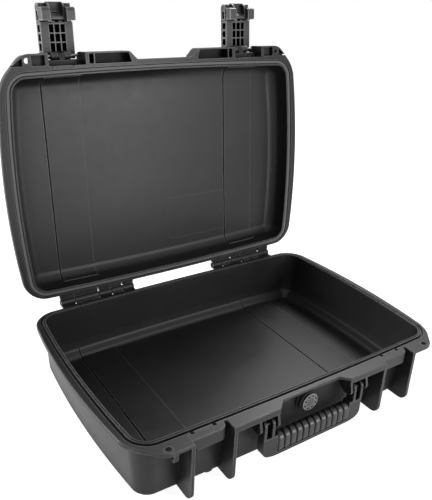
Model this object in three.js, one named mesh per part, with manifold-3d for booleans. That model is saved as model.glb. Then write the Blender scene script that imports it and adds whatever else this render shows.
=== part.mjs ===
// A hinged laptop case in moulded plastic, shown open.
// Millimetres. X runs right, Y runs to the back, Z up. The origin is the centre of the base's underside.
// Everything is modelled as it lies when the case is closed, then the groups turn the lid and latches open.
import * as THREE from 'three';
import { mergeVertices } from 'three/addons/utils/BufferGeometryUtils.js';
import Module from 'manifold-3d';

const wasm = await Module();
wasm.setup();

// Driving dimensions.
const cavity = { width: 462, depth: 307.2, sideBow: 8.4, frontBow: 4, cornerRadius: 20 };
const wall = 4; // base and lid walls, floor and ceiling
const fit = 0.3; // gap between two pieces that touch
const easyFit = 0.6; // gap where a piece must also turn past another
const overrun = 2; // how far a cut runs past the face it leaves
const sink = 1; // how deep a rib or boss is let into the wall that carries it
const base = { height: 85.1, lean: 5, edgeRadius: 8, floorRadius: 9 };
const lid = { depth: 34.6, lean: 4, edgeRadius: 13, ceilingRadius: 14, seamGap: 0.4, wallShift: 3 };
const lip = {
  sideReach: 12,
  sideBow: 12.5,
  backReach: 8.7,
  radius: 30,
  thickness: 7.5,
  edge: 1.5,
  skirt: 8,
};
const bead = { stand: 1, grooveWidth: 3.2, grooveDepth: 2.5 };
const seal = { width: 4.9, thickness: 3, clearance: 0.4, sideGap: 0.3 };

// Places given as distances out from an edge, so that they follow it when the case changes size.
const beyond = (edge, reaches) => {
  const entries = Object.entries(reaches).map(([name, reach]) => [name, edge + reach]);
  return Object.fromEntries(entries);
};
const frontReach = {
  centre: 16.9,
  bracket: 28.9,
  start: -3.6,
  lidBay: 12.4,
  strike: 22.4,
  corner: -0.6,
  blend: -17.6,
  pocket: 13.4,
  padlock: 20.4,
  lug: 20.9,
  webFront: 18.8,
  notch: 8,
  latchPin: 24.4,
  handlePin: 23.4,
  handleFace: 30.4,
  tabRoot: 2.4,
  finRoot: -13.6,
  padRoot: 0.4,
  padFace: 9.9,
  valveFace: 17.9,
  foot: -8.6,
};
const sideReach = { corner: 9, blend: 15.2, chamfer: -18, padlock: -24.4, lug: -31.6, hingeEnd: -34.5 };
const backReach = { hinge: 22.1, web: 6.4 };
const front = beyond(cavity.depth / 2, frontReach);
const aside = beyond(cavity.width / 2, sideReach);
const behind = beyond(cavity.depth / 2, backReach);
const latchShare = 0.65476; // of the cavity's half width, where the latches stand
const latchX = cavity.width / 2 * latchShare;
const bayReach = {
  inner: -26.25,
  outer: 26.25,
  foot: -14.25,
  rib: -38.25,
};
const bay = beyond(latchX, bayReach);
const bayHalf = bay.outer - latchX;
const handleHalf = 81.4; // from the middle to the outer face of an arm
const armReach = { grip: -22.4, tabInner: -22.9, tabOuter: 4.1, centreEnd: -35.4, slopeEnd: -23.4 };
const arm = beyond(handleHalf, armReach);

const bracket = {
  centreEnd: arm.centreEnd,
  slopeEnd: arm.slopeEnd,
  inner: bay.inner,
  outer: bay.outer,
  chamfer: aside.chamfer,
  corner: aside.corner,
  cornerY: front.corner,
};
const blend = { x: aside.blend, y: front.blend }; // where the corner brackets run out into the side lip
const shelf = { plate: 4.5, nose: 9, noseWall: 4 };
const fin = { thickness: 5, bottom: 0.3, radius: 11, root: front.finRoot, rootZ: 1.5 };
const latch = {
  centre: latchX,
  pivotY: front.latchPin,
  pivotRise: 26,
  width: 46,
  length: 68,
  inset: 2,
  thickness: 16,
};
// The strike's free end is its right one in both bays.
const strike = { end: 21.25, thickness: 4.5, reach: 18.8, radius: 8 };
const hinge = {
  y: behind.hinge,
  rise: 0.9,
  radius: 5,
  pinRadius: 1.9,
  end: aside.hingeEnd,
  gap: 0.5,
  web: behind.web,
  opening: 95.9,
};
const handle = {
  pivotY: front.handlePin,
  pivotDrop: 22,
  armFront: front.handleFace,
  armTop: 18,
  armBottom: 48.6,
  armDepth: 13,
  half: handleHalf,
};
const valve = {
  drop: 23,
  front: front.valveFace,
  radius: 12.25,
  padFace: front.padFace,
  flangeRadius: 14.5,
  shankRadius: 8,
};
const foot = { x: bay.foot, y: front.foot, radius: 6.8, height: 3, boss: 8.5, bossHeight: 10 };
const latchSwing = 90; // degrees from hanging to lying out from the lid
const steps = { corner: 5, side: 5, fillet: 3, round: 16, small: 10, tiny: 6, curve: 3 };
const roundShare = 0.98; // of an edge's length that its rounded ends may take

// Places that follow from them.
const rimZ = base.height;
const beadZ = rimZ;
const lipTop = beadZ - bead.stand;
const seamZ = lipTop + lid.seamGap;
const ceilingZ = seamZ + lid.depth;
const lidTop = ceilingZ + wall;
const hingeZ = rimZ + hinge.rise;
const latchPivotZ = rimZ + latch.pivotRise;
const handleZ = rimZ - handle.pivotDrop;
const quarter = Math.PI / 2;
const turnAngle = Math.PI * 2;
const middleShare = 0.5; // halfway between two neighbours
const degree = Math.PI / 180;
const sides = { left: -1, right: 1 };

const finishes = {
  shell: { color: 0x2b2b2d, roughness: 0.62, metalness: 0 },
  latch: { color: 0x3a3a3c, roughness: 0.55, metalness: 0 },
  lever: { color: 0x414143, roughness: 0.5, metalness: 0 },
  grip: { color: 0x2c2c2e, roughness: 0.75, metalness: 0 },
  rubber: { color: 0x1b1b1c, roughness: 0.85, metalness: 0 },
  steel: { color: 0x9b9da0, roughness: 0.35, metalness: 1 },
  membrane: { color: 0xd8d8d4, roughness: 0.8, metalness: 0 },
};

// Solids from three.js geometry, and back.
function solidOf(geometry) {
  const bare = geometry.clone();
  bare.deleteAttribute('normal');
  bare.deleteAttribute('uv');
  const merged = mergeVertices(bare);
  const vertProperties = new Float32Array(merged.attributes.position.array);
  const triVerts = new Uint32Array(merged.index.array);
  return new wasm.Manifold(new wasm.Mesh({ numProp: 3, vertProperties, triVerts }));
}

function geometryOf(solid) {
  const mesh = solid.getMesh();
  const geometry = new THREE.BufferGeometry();
  geometry.setAttribute('position', new THREE.BufferAttribute(new Float32Array(mesh.vertProperties), 3));
  geometry.setIndex(new THREE.BufferAttribute(new Uint32Array(mesh.triVerts), 1));
  geometry.computeVertexNormals();
  return geometry;
}

const join = (...solids) => solids.flat(2).reduce((sum, next) => sum.add(next));
const cut = (body, ...tools) => tools.flat(2).reduce((rest, tool) => rest.subtract(tool), body);
const middle = (span) => (span[0] + span[1]) / 2;
const extent = (span) => Math.abs(span[1] - span[0]);

function block(xSpan, ySpan, zSpan) {
  const geometry = new THREE.BoxGeometry(extent(xSpan), extent(ySpan), extent(zSpan));
  geometry.translate(middle(xSpan), middle(ySpan), middle(zSpan));
  return solidOf(geometry);
}

// A cylinder along X, Y or Z. The centre is the pair of the other two coordinates, in that order.
function rod(axis, span, centre, radius, count = steps.round) {
  const geometry = new THREE.CylinderGeometry(radius, radius, extent(span), count);
  const along = middle(span);
  if (axis === 'x') {
    geometry.rotateZ(quarter);
    geometry.translate(along, centre[0], centre[1]);
  } else if (axis === 'y') {
    geometry.translate(centre[0], along, centre[1]);
  } else {
    geometry.rotateX(quarter);
    geometry.translate(centre[0], centre[1], along);
  }
  return solidOf(geometry);
}

// An outline whose third values, where given, round the corner: the distance from corner to tangent point.
function softShape(points) {
  const outline = points.flatMap(([u, v, soft], index) => {
    const corner = new THREE.Vector2(u, v);
    if (!soft) {
      return [corner];
    }
    const toward = [points.length - 1, 1].map((step) => {
      const [otherU, otherV, otherSoft] = points[(index + step) % points.length];
      const arm = new THREE.Vector2(otherU, otherV).sub(corner);
      return { arm, limit: arm.length() * (otherSoft ? roundShare / 2 : roundShare) };
    });
    const length = Math.min(soft, ...toward.map((entry) => entry.limit));
    const [before, after] = toward.map((entry) => entry.arm.normalize());
    const bisector = before.clone().add(after).normalize();
    const halfAngle = Math.acos(THREE.MathUtils.clamp(before.dot(bisector), -1, 1));
    const centre = bisector.multiplyScalar(length / Math.cos(halfAngle)).add(corner);
    const first = before.multiplyScalar(length).add(corner).sub(centre);
    const last = after.multiplyScalar(length).add(corner).sub(centre);
    const sweep = Math.atan2(first.cross(last), first.dot(last));
    const arc = [];
    for (let step = 0; step <= steps.curve; step += 1) {
      arc.push(first.clone().rotateAround(new THREE.Vector2(), sweep * step / steps.curve).add(centre));
    }
    return arc;
  });
  return new THREE.Shape(outline);
}

// A prism along an axis: outlines are (y, z) along X, (x, z) along Y and (x, y) along Z.
function prism(axis, outline, span) {
  const shape = outline instanceof THREE.Shape ? outline : softShape(outline);
  const options = { depth: extent(span), bevelEnabled: false, curveSegments: steps.curve };
  const geometry = new THREE.ExtrudeGeometry(shape, options);
  const frame = new THREE.Matrix4();
  if (axis === 'x') {
    frame.makeBasis(new THREE.Vector3(0, 1, 0), new THREE.Vector3(0, 0, 1), new THREE.Vector3(1, 0, 0));
    frame.setPosition(Math.min(...span), 0, 0);
  } else if (axis === 'y') {
    frame.makeBasis(new THREE.Vector3(1, 0, 0), new THREE.Vector3(0, 0, 1), new THREE.Vector3(0, -1, 0));
    frame.setPosition(0, Math.max(...span), 0);
  } else {
    frame.setPosition(0, 0, Math.min(...span));
  }
  geometry.applyMatrix4(frame);
  return solidOf(geometry);
}

// A body through rings of equally many points, from the lowest ring to the highest.
function loft(rings) {
  const count = rings[0].length;
  const positions = rings.flat().flatMap((point) => [point.x, point.y, point.z]);
  const faces = [];
  for (let level = 0; level + 1 < rings.length; level += 1) {
    for (let index = 0; index < count; index += 1) {
      const near = level * count + index;
      const far = level * count + ((index + 1) % count);
      faces.push(near, far, far + count, near, far + count, near + count);
    }
  }
  const topStart = (rings.length - 1) * count;
  const cap = (ring) => {
    const flat = ring.map((point) => new THREE.Vector2(point.x, point.y));
    return THREE.ShapeUtils.triangulateShape(flat, []);
  };
  cap(rings[0]).forEach(([a, b, c]) => faces.push(a, c, b));
  cap(rings[rings.length - 1]).forEach(([a, b, c]) => faces.push(topStart + a, topStart + b, topStart + c));
  const geometry = new THREE.BufferGeometry();
  geometry.setAttribute('position', new THREE.Float32BufferAttribute(positions, 3));
  geometry.setIndex(faces);
  return solidOf(geometry);
}

// A rounded rectangle whose sides bow outwards.
function bowedRing(halfX, halfY, bowX, bowY, radius, z) {
  const corners = [[1, 1], [-1, 1], [-1, -1], [1, -1]];
  const points = [];
  corners.forEach(([sx, sy], turnIndex) => {
    const arc = [];
    for (let index = 0; index <= steps.corner; index += 1) {
      const turn = (turnIndex + index / steps.corner) * quarter;
      const x = sx * (halfX - radius) + radius * Math.cos(turn);
      const y = sy * (halfY - radius) + radius * Math.sin(turn);
      arc.push([x, y]);
    }
    const [nextX, nextY] = corners[(turnIndex + 1) % corners.length];
    const end = arc[arc.length - 1];
    const alongX = nextX !== sx;
    const target = alongX ? [nextX * (halfX - radius), end[1]] : [end[0], nextY * (halfY - radius)];
    for (let index = 1; index < steps.side; index += 1) {
      const share = index / steps.side;
      arc.push([end[0] + (target[0] - end[0]) * share, end[1] + (target[1] - end[1]) * share]);
    }
    points.push(...arc);
  });
  return points.map(([x, y]) => new THREE.Vector3(
    x + bowX * (x / halfX) * (1 - (y / halfY) ** 2),
    y + bowY * (y / halfY) * (1 - (x / halfX) ** 2),
    z,
  ));
}

// The cavity's outline at the rim, moved outwards by an amount.
function caseRing(outset, z) {
  const halfX = cavity.width / 2 + outset;
  const halfY = cavity.depth / 2 + outset;
  const radius = Math.max(cavity.cornerRadius + outset, sink);
  return bowedRing(halfX, halfY, cavity.sideBow, cavity.frontBow, radius, z);
}

function lipRing(inset, z) {
  const halfX = cavity.width / 2 + lip.sideReach - inset;
  const halfY = cavity.depth / 2 + lip.backReach - inset;
  return bowedRing(halfX, halfY, lip.sideBow, cavity.frontBow, lip.radius - inset, z);
}

const baseLean = (z) => base.lean * (rimZ - z) / rimZ;
const lidLean = (z) => lid.lean * (z - seamZ) / (lidTop - seamZ);

// A tray with a rounded edge at its flat end, which may be its floor or its ceiling.
function tray(outset, lean, radius, flatZ, openZ) {
  const up = Math.sign(openZ - flatZ);
  const rings = [];
  for (let index = 0; index <= steps.fillet; index += 1) {
    const turn = (index / steps.fillet) * quarter;
    const z = flatZ + up * radius * (1 - Math.cos(turn));
    rings.push(caseRing(outset - lean(z) - radius * (1 - Math.sin(turn)), z));
  }
  rings.push(caseRing(outset - lean(openZ), openZ));
  return loft(up > 0 ? rings : rings.reverse());
}

// The rim's lip, with a skirt that runs into the wall: upwards for the lid, downwards for the base.
function lipBody(faceZ, up, outset, lean) {
  const at = (distance) => faceZ + up * distance;
  const rings = [
    lipRing(lip.edge, at(0)),
    lipRing(0, at(lip.edge)),
    lipRing(0, at(lip.thickness - lip.edge)),
    lipRing(lip.edge, at(lip.thickness)),
    caseRing(outset - lean(at(lip.thickness + lip.skirt)) - sink, at(lip.thickness + lip.skirt)),
  ];
  return loft(up > 0 ? rings : rings.reverse());
}

const mirrored = (points) => [...points, ...points.map(([x, y, soft]) => [-x, y, soft]).reverse()];
const spanOn = (side, near, far) => [side * near, side * far];

// Outer walls, and the hollow inside them.
const outerBase = tray(wall, baseLean, base.edgeRadius, 0, rimZ);
const innerBase = tray(0, baseLean, base.floorRadius, wall, rimZ + overrun);
const outerLid = tray(wall - lid.wallShift, lidLean, lid.edgeRadius, lidTop, seamZ + lip.thickness);
const innerLid = tray(-lid.wallShift, lidLean, lid.ceilingRadius, ceilingZ, seamZ - overrun);

// The front shelf's outline: centre, brackets beside the handle, latch bays and chamfered corners.
function frontOutline() {
  return mirrored([
    [bracket.centreEnd, -front.centre],
    [bracket.slopeEnd, -front.bracket],
    [bracket.inner, -front.bracket],
    [bracket.inner, -front.lidBay],
    [bracket.outer, -front.lidBay],
    [bracket.outer, -front.bracket],
    [bracket.chamfer, -front.bracket, shelf.nose],
    [bracket.corner, -bracket.cornerY, shelf.nose],
    [blend.x, -blend.y],
    [cavity.width / 2, -blend.y],
  ]);
}

// Padlock eyes go through the chamfered corners of lid and base.
const padlock = { x: aside.padlock, y: front.padlock, radius: 3.9, wall: 2.4 };

function padlockHole(side) {
  return rod('z', [0, lidTop + overrun], [side * padlock.x, -padlock.y], padlock.radius);
}

// A lug with a hole hangs under the left corner, and only there.
const lug = {
  x: aside.lug,
  y: front.lug,
  half: 3,
  depth: 9,
  drop: 15,
  radius: 4.4,
  hole: 2.1,
  holeDrop: 9.5,
};

function cornerLug() {
  const low = lipTop - shelf.plate - lug.drop;
  const shape = [
    [-lug.y - lug.depth / 2, lipTop - sink],
    [-lug.y - lug.depth / 2, low, lug.radius],
    [-lug.y + lug.depth / 2, low, lug.radius],
    [-lug.y + lug.depth / 2, lipTop - sink],
  ];
  const xSpan = [-lug.x - lug.half, -lug.x + lug.half];
  const holeSpan = [xSpan[0] - overrun, xSpan[1] + overrun];
  const holeZ = lipTop - shelf.plate - lug.holeDrop;
  return cut(prism('x', shape, xSpan), rod('x', holeSpan, [-lug.y, holeZ], lug.hole));
}

// Hinge knuckles from the outer end to the inner one. The second is the lid's long one.
const knuckleWidths = [22.5, 39.5, 20.5, 19.5, 19.5];
const knuckleOwners = ['base', 'lid', 'base', 'lid', 'base'];
const hingeInnerEnd = hinge.end - knuckleWidths.reduce((sum, width) => sum + width);
const heel = { half: 2, slope: 8, top: 4, depth: 8.6, width: 12, inset: 3.5 };

function knuckleSpans() {
  let outerEnd = hinge.end;
  return knuckleWidths.map((width, index) => {
    const span = [outerEnd - hinge.gap / 2, outerEnd - width + hinge.gap / 2];
    outerEnd -= width;
    return { span, owner: knuckleOwners[index], long: index === 1 };
  });
}

function knuckles(side, owner) {
  const webZ = owner === 'base' ? [hingeZ - hinge.radius, lipTop] : [hingeZ, hingeZ + hinge.radius];
  return knuckleSpans().filter((knuckle) => knuckle.owner === owner).flatMap(({ span, long }) => {
    const xSpan = spanOn(side, ...span);
    const solids = [
      rod('x', xSpan, [hinge.y, hingeZ], hinge.radius),
      block(xSpan, [hinge.web, hinge.y], webZ),
    ];
    return long ? [...solids, ...heels(side, span)] : solids;
  }).concat(hingeFillers(side, owner));
}

// Ledges reach towards the other part's knuckles, on both sides of its heels, and close the gaps beside them.
const ledge = { clearance: 5.9, depth: 4.5, rise: 3 };

function hingeFillers(side, owner) {
  const zSpan = owner === 'base' ? [lipTop - ledge.depth, lipTop] : [seamZ, hingeZ + ledge.rise];
  return knuckleSpans().filter((knuckle) => knuckle.owner !== owner).flatMap(({ span, long }) => {
    const [outerEnd, innerEnd] = span;
    const heelStarts = [outerEnd - heel.inset, innerEnd + heel.inset + heel.width];
    const ends = long
      ? [[outerEnd, heelStarts[0] + fit], [heelStarts[0] - heel.width - fit, heelStarts[1] + fit],
        [innerEnd + heel.inset - fit, innerEnd]]
      : [span];
    return ends.map((reach) => block(spanOn(side, ...reach), [hinge.web, hinge.y - ledge.clearance], zSpan));
  });
}

// Heels on the lid's long knuckle meet the base's lip when the lid is fully open.
function heels(side, span) {
  const [outerEnd, innerEnd] = span;
  const starts = [outerEnd - heel.inset - heel.width, innerEnd + heel.inset];
  return starts.map((start) => prism('x', [
    [hinge.y - heel.half, hingeZ],
    [hinge.y + heel.half, hingeZ - heel.depth],
    [hinge.y + heel.slope, hingeZ - heel.depth],
    [hinge.y + heel.top, hingeZ],
  ], spanOn(side, start, start + heel.width)));
}

function hingeBore(side) {
  const reach = [hinge.end + overrun, hingeInnerEnd - overrun];
  return rod('x', spanOn(side, ...reach), [hinge.y, hingeZ], hinge.pinRadius + fit, steps.small);
}

// Panel seams moulded into the floor and ceiling, in line with the fins.
const seam = { width: 1.6, depth: 1.2, rise: 22 };

function panelSeams(outset, lean, radius, flatZ, openZ) {
  const up = Math.sign(openZ - flatZ);
  const deeper = tray(outset + seam.depth, lean, radius + seam.depth, flatZ - up * seam.depth, openZ);
  const edges = [bracket.inner, bracket.outer + fin.thickness];
  const zSpan = [flatZ - up * overrun, flatZ + up * seam.rise];
  const slabs = Object.values(sides).flatMap((side) => edges.map((x) => {
    const xSpan = spanOn(side, x - seam.width, x);
    return block(xSpan, [-cavity.depth, cavity.depth], zSpan);
  }));
  return deeper.intersect(join(slabs));
}

// Handle pivot and the pairs of tabs that hold it.
const tab = { radius: 7.5, thickness: 3.5, innerX: arm.tabInner, outerX: arm.tabOuter, root: front.tabRoot };
const prong = { radius: 7, thickness: 4 };
const handlePin = { radius: 2.2, inset: 0.5 };

function handleTabs(side) {
  const shape = [
    [-tab.root, lipTop - sink],
    [-front.bracket + sink, lipTop - sink],
    [-front.bracket + sink, lipTop - shelf.nose],
    [-handle.pivotY - tab.radius, handleZ],
    [-handle.pivotY - tab.radius, handleZ - tab.radius, tab.radius],
    [-handle.pivotY + tab.radius, handleZ - tab.radius, tab.radius],
    [-tab.root, handleZ + tab.radius],
  ];
  return [tab.innerX, tab.outerX].map((x) => prism('x', shape, spanOn(side, x, x + tab.thickness)));
}

function handleBore(side, radius) {
  const reach = [tab.innerX - overrun, tab.outerX + tab.thickness + overrun];
  return rod('x', spanOn(side, ...reach), [-handle.pivotY, handleZ], radius, steps.small);
}

// Fins run down the front wall on both sides of each latch.
function finPlate(side, nearX) {
  const shape = [
    [-front.start, lipTop - sink],
    [-front.bracket, lipTop - sink],
    [-front.bracket, fin.bottom, fin.radius],
    [-front.start, fin.bottom],
    [-fin.root, fin.rootZ],
    [-fin.root, wall],
    [-front.start, base.edgeRadius],
  ];
  return prism('x', shape, spanOn(side, nearX, nearX + fin.thickness));
}

// The top of a latch bay and the strike that the latch hooks catch under, which goes round its free end.
function strikeOutline(side, inset, back) {
  const left = side * latch.centre - bayHalf - sink;
  const right = side * latch.centre + strike.end - inset;
  return [
    [left, -back],
    [left, -front.strike + inset],
    [right, -front.strike + inset, strike.radius - inset],
    [right, -back],
  ];
}

function strikePlate(side) {
  const low = lipTop + bead.stand - strike.reach;
  const full = prism('z', strikeOutline(side, 0, front.start), [low, lipTop]);
  const hollow = strikeOutline(side, strike.thickness, front.start - overrun);
  return cut(full, prism('z', hollow, [low - overrun, lipTop - shelf.plate]));
}

const notch = { width: 5, depth: 5.2, height: 3.5 };
const notchReach = { left: -20, right: 9.5 };

function rimNotches(side) {
  return Object.values(beyond(side * latch.centre, notchReach)).map((x) => block(
    [x - notch.width / 2, x + notch.width / 2],
    [-front.notch, -front.notch - notch.depth],
    [lipTop - notch.height, lipTop + overrun],
  ));
}

// The feet sit partly under the rounded bottom edge, so each has a boss that fills it.
function footBoss(sideX, sideY) {
  return rod('z', [0, foot.bossHeight], [sideX * foot.x, sideY * foot.y], foot.boss);
}

// The pad on the front wall that the pressure valve is screwed against.
const valveZ = rimZ - valve.drop;
const pad = { radius: 16, root: front.padRoot };

function shellRound(yFrom, yTo, radius, count) {
  return rod('y', [-yFrom, -yTo], [0, valveZ], radius, count);
}

function buildBase() {
  const outset = wall;
  const solids = [
    outerBase,
    lipBody(lipTop, -1, outset, baseLean),
    prism('z', frontOutline(), [lipTop - shelf.plate, lipTop]),
    cornerLug(),
    shellRound(pad.root, valve.padFace, pad.radius),
  ];
  const cuts = [innerBase];
  for (const side of Object.values(sides)) {
    const noseX = spanOn(side, bracket.slopeEnd, bracket.inner);
    solids.push(
      block(noseX, [-front.bracket, -front.bracket + shelf.noseWall], [lipTop - shelf.nose, lipTop]),
      finPlate(side, bracket.inner - fin.thickness),
      finPlate(side, bracket.outer),
      strikePlate(side),
      footBoss(side, -1),
      footBoss(side, 1),
      ...handleTabs(side),
      ...knuckles(side, 'base'),
    );
    cuts.push(
      hingeBore(side),
      handleBore(side, handlePin.radius + fit),
      padlockHole(side),
      ...rimNotches(side),
    );
  }
  const grooveEdge = wall + bead.grooveWidth;
  const groove = cut(
    loft([caseRing(grooveEdge, lipTop - bead.grooveDepth), caseRing(grooveEdge, rimZ)]),
    loft([caseRing(wall, 0), caseRing(wall, rimZ + overrun)]),
  );
  const shankHole = shellRound(cavity.depth / 2 - base.lean - overrun, valve.front, valve.shankRadius + fit);
  const seat = shellRound(valve.padFace, valve.front, valve.flangeRadius + easyFit);
  const seams = panelSeams(0, baseLean, base.floorRadius, wall, rimZ);
  return cut(join(solids), cuts, groove, shankHole, seat, seams);
}

// Lid brackets are hollow boxes, open to the seam, beside and outside each latch. The corner ones are lower,
// and the padlock eye goes through a plain plate between their pockets.
const lidBracket = {
  height: 20,
  cornerHeight: 10,
  eyePlate: 4,
  eyeSide: 0.6,
  wall: 2,
  roof: 3,
  back: front.pocket,
  ribX: bay.rib,
  ribWidth: 1.6,
  slopeInset: 9,
  slopeWall: 1.5,
  cornerInset: 12,
};
const lidFin = { top: 35, radius: 9 };
const latchLug = { half: 3.9, radius: 5.2, root: 10.4 };
const latchPin = { radius: 2 };

function lidBracketSolid(side) {
  const top = seamZ + lidBracket.height;
  const inner = [
    [side * bracket.centreEnd, -front.centre],
    [side * bracket.slopeEnd, -front.bracket],
    [side * bracket.inner, -front.bracket],
    [side * bracket.inner, -front.start],
    [side * bracket.centreEnd, -front.start],
  ];
  const corner = [
    [side * bracket.outer, -front.bracket],
    [side * bracket.chamfer, -front.bracket, shelf.nose],
    [side * bracket.corner, -bracket.cornerY, shelf.nose],
    [side * blend.x, -blend.y],
    [side * (cavity.width / 2 - lid.edgeRadius), -blend.y],
    [side * (cavity.width / 2 - lid.edgeRadius), -front.start],
    [side * bracket.outer, -front.start],
  ];
  return [prism('z', inner, [seamZ, top]), prism('z', corner, [seamZ, seamZ + lidBracket.cornerHeight])];
}

function lidPockets(side) {
  const { height, cornerHeight, wall: skin, roof, back, ribX, ribWidth: thickness } = lidBracket;
  const { slopeInset, slopeWall, cornerInset, eyePlate, eyeSide } = lidBracket;
  const rib = bracket.inner - fin.thickness;
  const eye = padlock.radius + padlock.wall;
  const eyeRoom = padlock.radius + eyeSide;
  const inner = [
    [side * (bracket.centreEnd + slopeInset), -back],
    [side * (bracket.slopeEnd + slopeWall), -front.bracket + skin],
    [side * (ribX - thickness), -front.bracket + skin],
    [side * (ribX - thickness), -back],
  ];
  const beside = [
    [side * ribX, -back],
    [side * ribX, -front.bracket + skin],
    [side * rib, -front.bracket + skin],
    [side * rib, -back],
  ];
  const square = [
    [side * (bracket.outer + skin), -back],
    [side * (bracket.outer + skin), -front.bracket + skin],
    [side * (padlock.x - eye), -front.bracket + skin],
    [side * (padlock.x - eye), -back],
  ];
  const triangle = [
    [side * (padlock.x + eye), -front.bracket + skin + roof],
    [side * (padlock.x + eye), -back],
    [side * (bracket.corner - cornerInset), -back],
  ];
  const pocket = (shape, depth) => prism('z', shape, [seamZ - overrun, seamZ + depth]);
  return [
    pocket(inner, height - roof),
    pocket(beside, height - roof),
    pocket(square, cornerHeight - roof),
    pocket(triangle, cornerHeight - roof),
    block(
      spanOn(side, padlock.x - eyeRoom, padlock.x + eyeRoom),
      [-front.bracket - overrun, -back],
      [seamZ + eyePlate, seamZ + cornerHeight + overrun],
    ),
  ];
}

// The fins that hold a latch pin stand on the lid in line with those of the base.
function lidFinPlate(side, nearX) {
  const top = seamZ + lidFin.top;
  const shape = [
    [-front.start, seamZ],
    [-front.bracket, seamZ],
    [-front.bracket, top, lidFin.radius],
    [-front.start + lidFin.radius, top],
  ];
  return prism('x', shape, spanOn(side, nearX, nearX + fin.thickness));
}

function latchLugSolid(side) {
  const shape = [
    [-front.start, latchPivotZ - latchLug.root],
    [-latch.pivotY - latchLug.radius, latchPivotZ - latchLug.radius, latchLug.radius],
    [-latch.pivotY - latchLug.radius, latchPivotZ + latchLug.radius, latchLug.radius],
    [-latch.pivotY + latchLug.radius, latchPivotZ + latchLug.radius],
    [-front.start, latchPivotZ + latchLug.radius],
  ];
  return prism('x', shape, spanOn(side, latch.centre - latchLug.half, latch.centre + latchLug.half));
}

// The wall across a latch bay of the lid, behind the latch's barrels.
const bayWeb = { low: 14.9, thickness: 4 };

function bayWebSolid(side) {
  const xSpan = spanOn(side, bracket.inner - sink, bracket.outer + sink);
  const low = lipTop + bead.stand + bayWeb.low;
  return block(xSpan, [-front.webFront, -front.start], [low, low + bayWeb.thickness]);
}

function latchPinBore(side, radius) {
  const reach = [bracket.inner - fin.thickness - overrun, bracket.outer + fin.thickness + overrun];
  return rod('x', spanOn(side, ...reach), [-latch.pivotY, latchPivotZ], radius, steps.small);
}

const sealGroove = {
  from: -seal.sideGap,
  to: seal.width + seal.sideGap,
  top: beadZ + seal.clearance + seal.thickness + fit,
};

function buildLid() {
  const outset = wall - lid.wallShift;
  const solids = [
    outerLid,
    lipBody(seamZ, 1, outset, lidLean),
    prism('z', frontOutline(), [seamZ, seamZ + lip.thickness]),
  ];
  const cuts = [innerLid];
  for (const side of Object.values(sides)) {
    solids.push(
      ...lidBracketSolid(side),
      lidFinPlate(side, bracket.inner - fin.thickness),
      lidFinPlate(side, bracket.outer),
      latchLugSolid(side),
      bayWebSolid(side),
      ...knuckles(side, 'lid'),
    );
    const pinBore = latchPinBore(side, latchPin.radius + fit);
    cuts.push(...lidPockets(side), hingeBore(side), padlockHole(side), pinBore);
  }
  const groove = cut(
    loft([caseRing(sealGroove.to, seamZ - overrun), caseRing(sealGroove.to, sealGroove.top)]),
    loft([caseRing(sealGroove.from, seamZ - overrun), caseRing(sealGroove.from, sealGroove.top)]),
  );
  const seams = panelSeams(-lid.wallShift, lidLean, lid.ceilingRadius, ceilingZ, seamZ);
  return cut(join(solids), cuts, groove, seams);
}

function buildGasket() {
  const low = beadZ + seal.clearance;
  const high = low + seal.thickness;
  const inset = fit / 2;
  const within = sealGroove.from + inset;
  return cut(
    loft([caseRing(sealGroove.to - inset, low), caseRing(sealGroove.to - inset, high)]),
    loft([caseRing(within, low - overrun), caseRing(within, high + overrun)]),
  );
}

function buildHingePin(side) {
  const reach = spanOn(side, hingeInnerEnd + hinge.gap, hinge.end - hinge.gap);
  return rod('x', reach, [hinge.y, hingeZ], hinge.pinRadius, steps.small);
}

// Latches. Across is measured from the latch's middle, down from its pin, and in towards the case.
const rail = { from: 12, pocket: 9, skin: 3, outerWeb: 1.25, web: 2.5 };
const lattice = { ribs: [-4.2, 4.2], ribWidth: 1.4, rows: [5, 17.5, 29.5, 41.5], bar: 1.4 };
const barrel = { from: 4.4, to: 14, radius: 5.5 };
const ear = {
  top: 45.4,
  bottom: 62.8,
  back: -3,
  tip: 10,
  hook: 2.4,
  hookEnd: 15.2,
  rise: 1.2,
  shoulder: 5,
  recess: -6,
  proud: 0.5,
};
const lever = { pin: 52, pinIn: -8, pinRadius: 1.7, half: 11.3, top: 47, back: -11.5, floor: 3, side: 2.4 };
const coil = { radius: 2.9, wire: 0.8, pitch: 1.48, turns: 4, turnSteps: 8, sides: 5, room: 4.5 };

const acrossOn = (side, from, to) => [side * latch.centre + from, side * latch.centre + to];
const inTo = (from, to) => [-latch.pivotY + from, -latch.pivotY + to];
const downTo = (from, to) => [latchPivotZ - from, latchPivotZ - to];

function latchBlock(side, across, inward, down) {
  return block(acrossOn(side, ...across), inTo(...inward), downTo(...down));
}

function latchRod(side, across, inward, down, radius, count) {
  const centre = [-latch.pivotY + inward, latchPivotZ - down];
  return rod('x', acrossOn(side, ...across), centre, radius, count);
}

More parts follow.
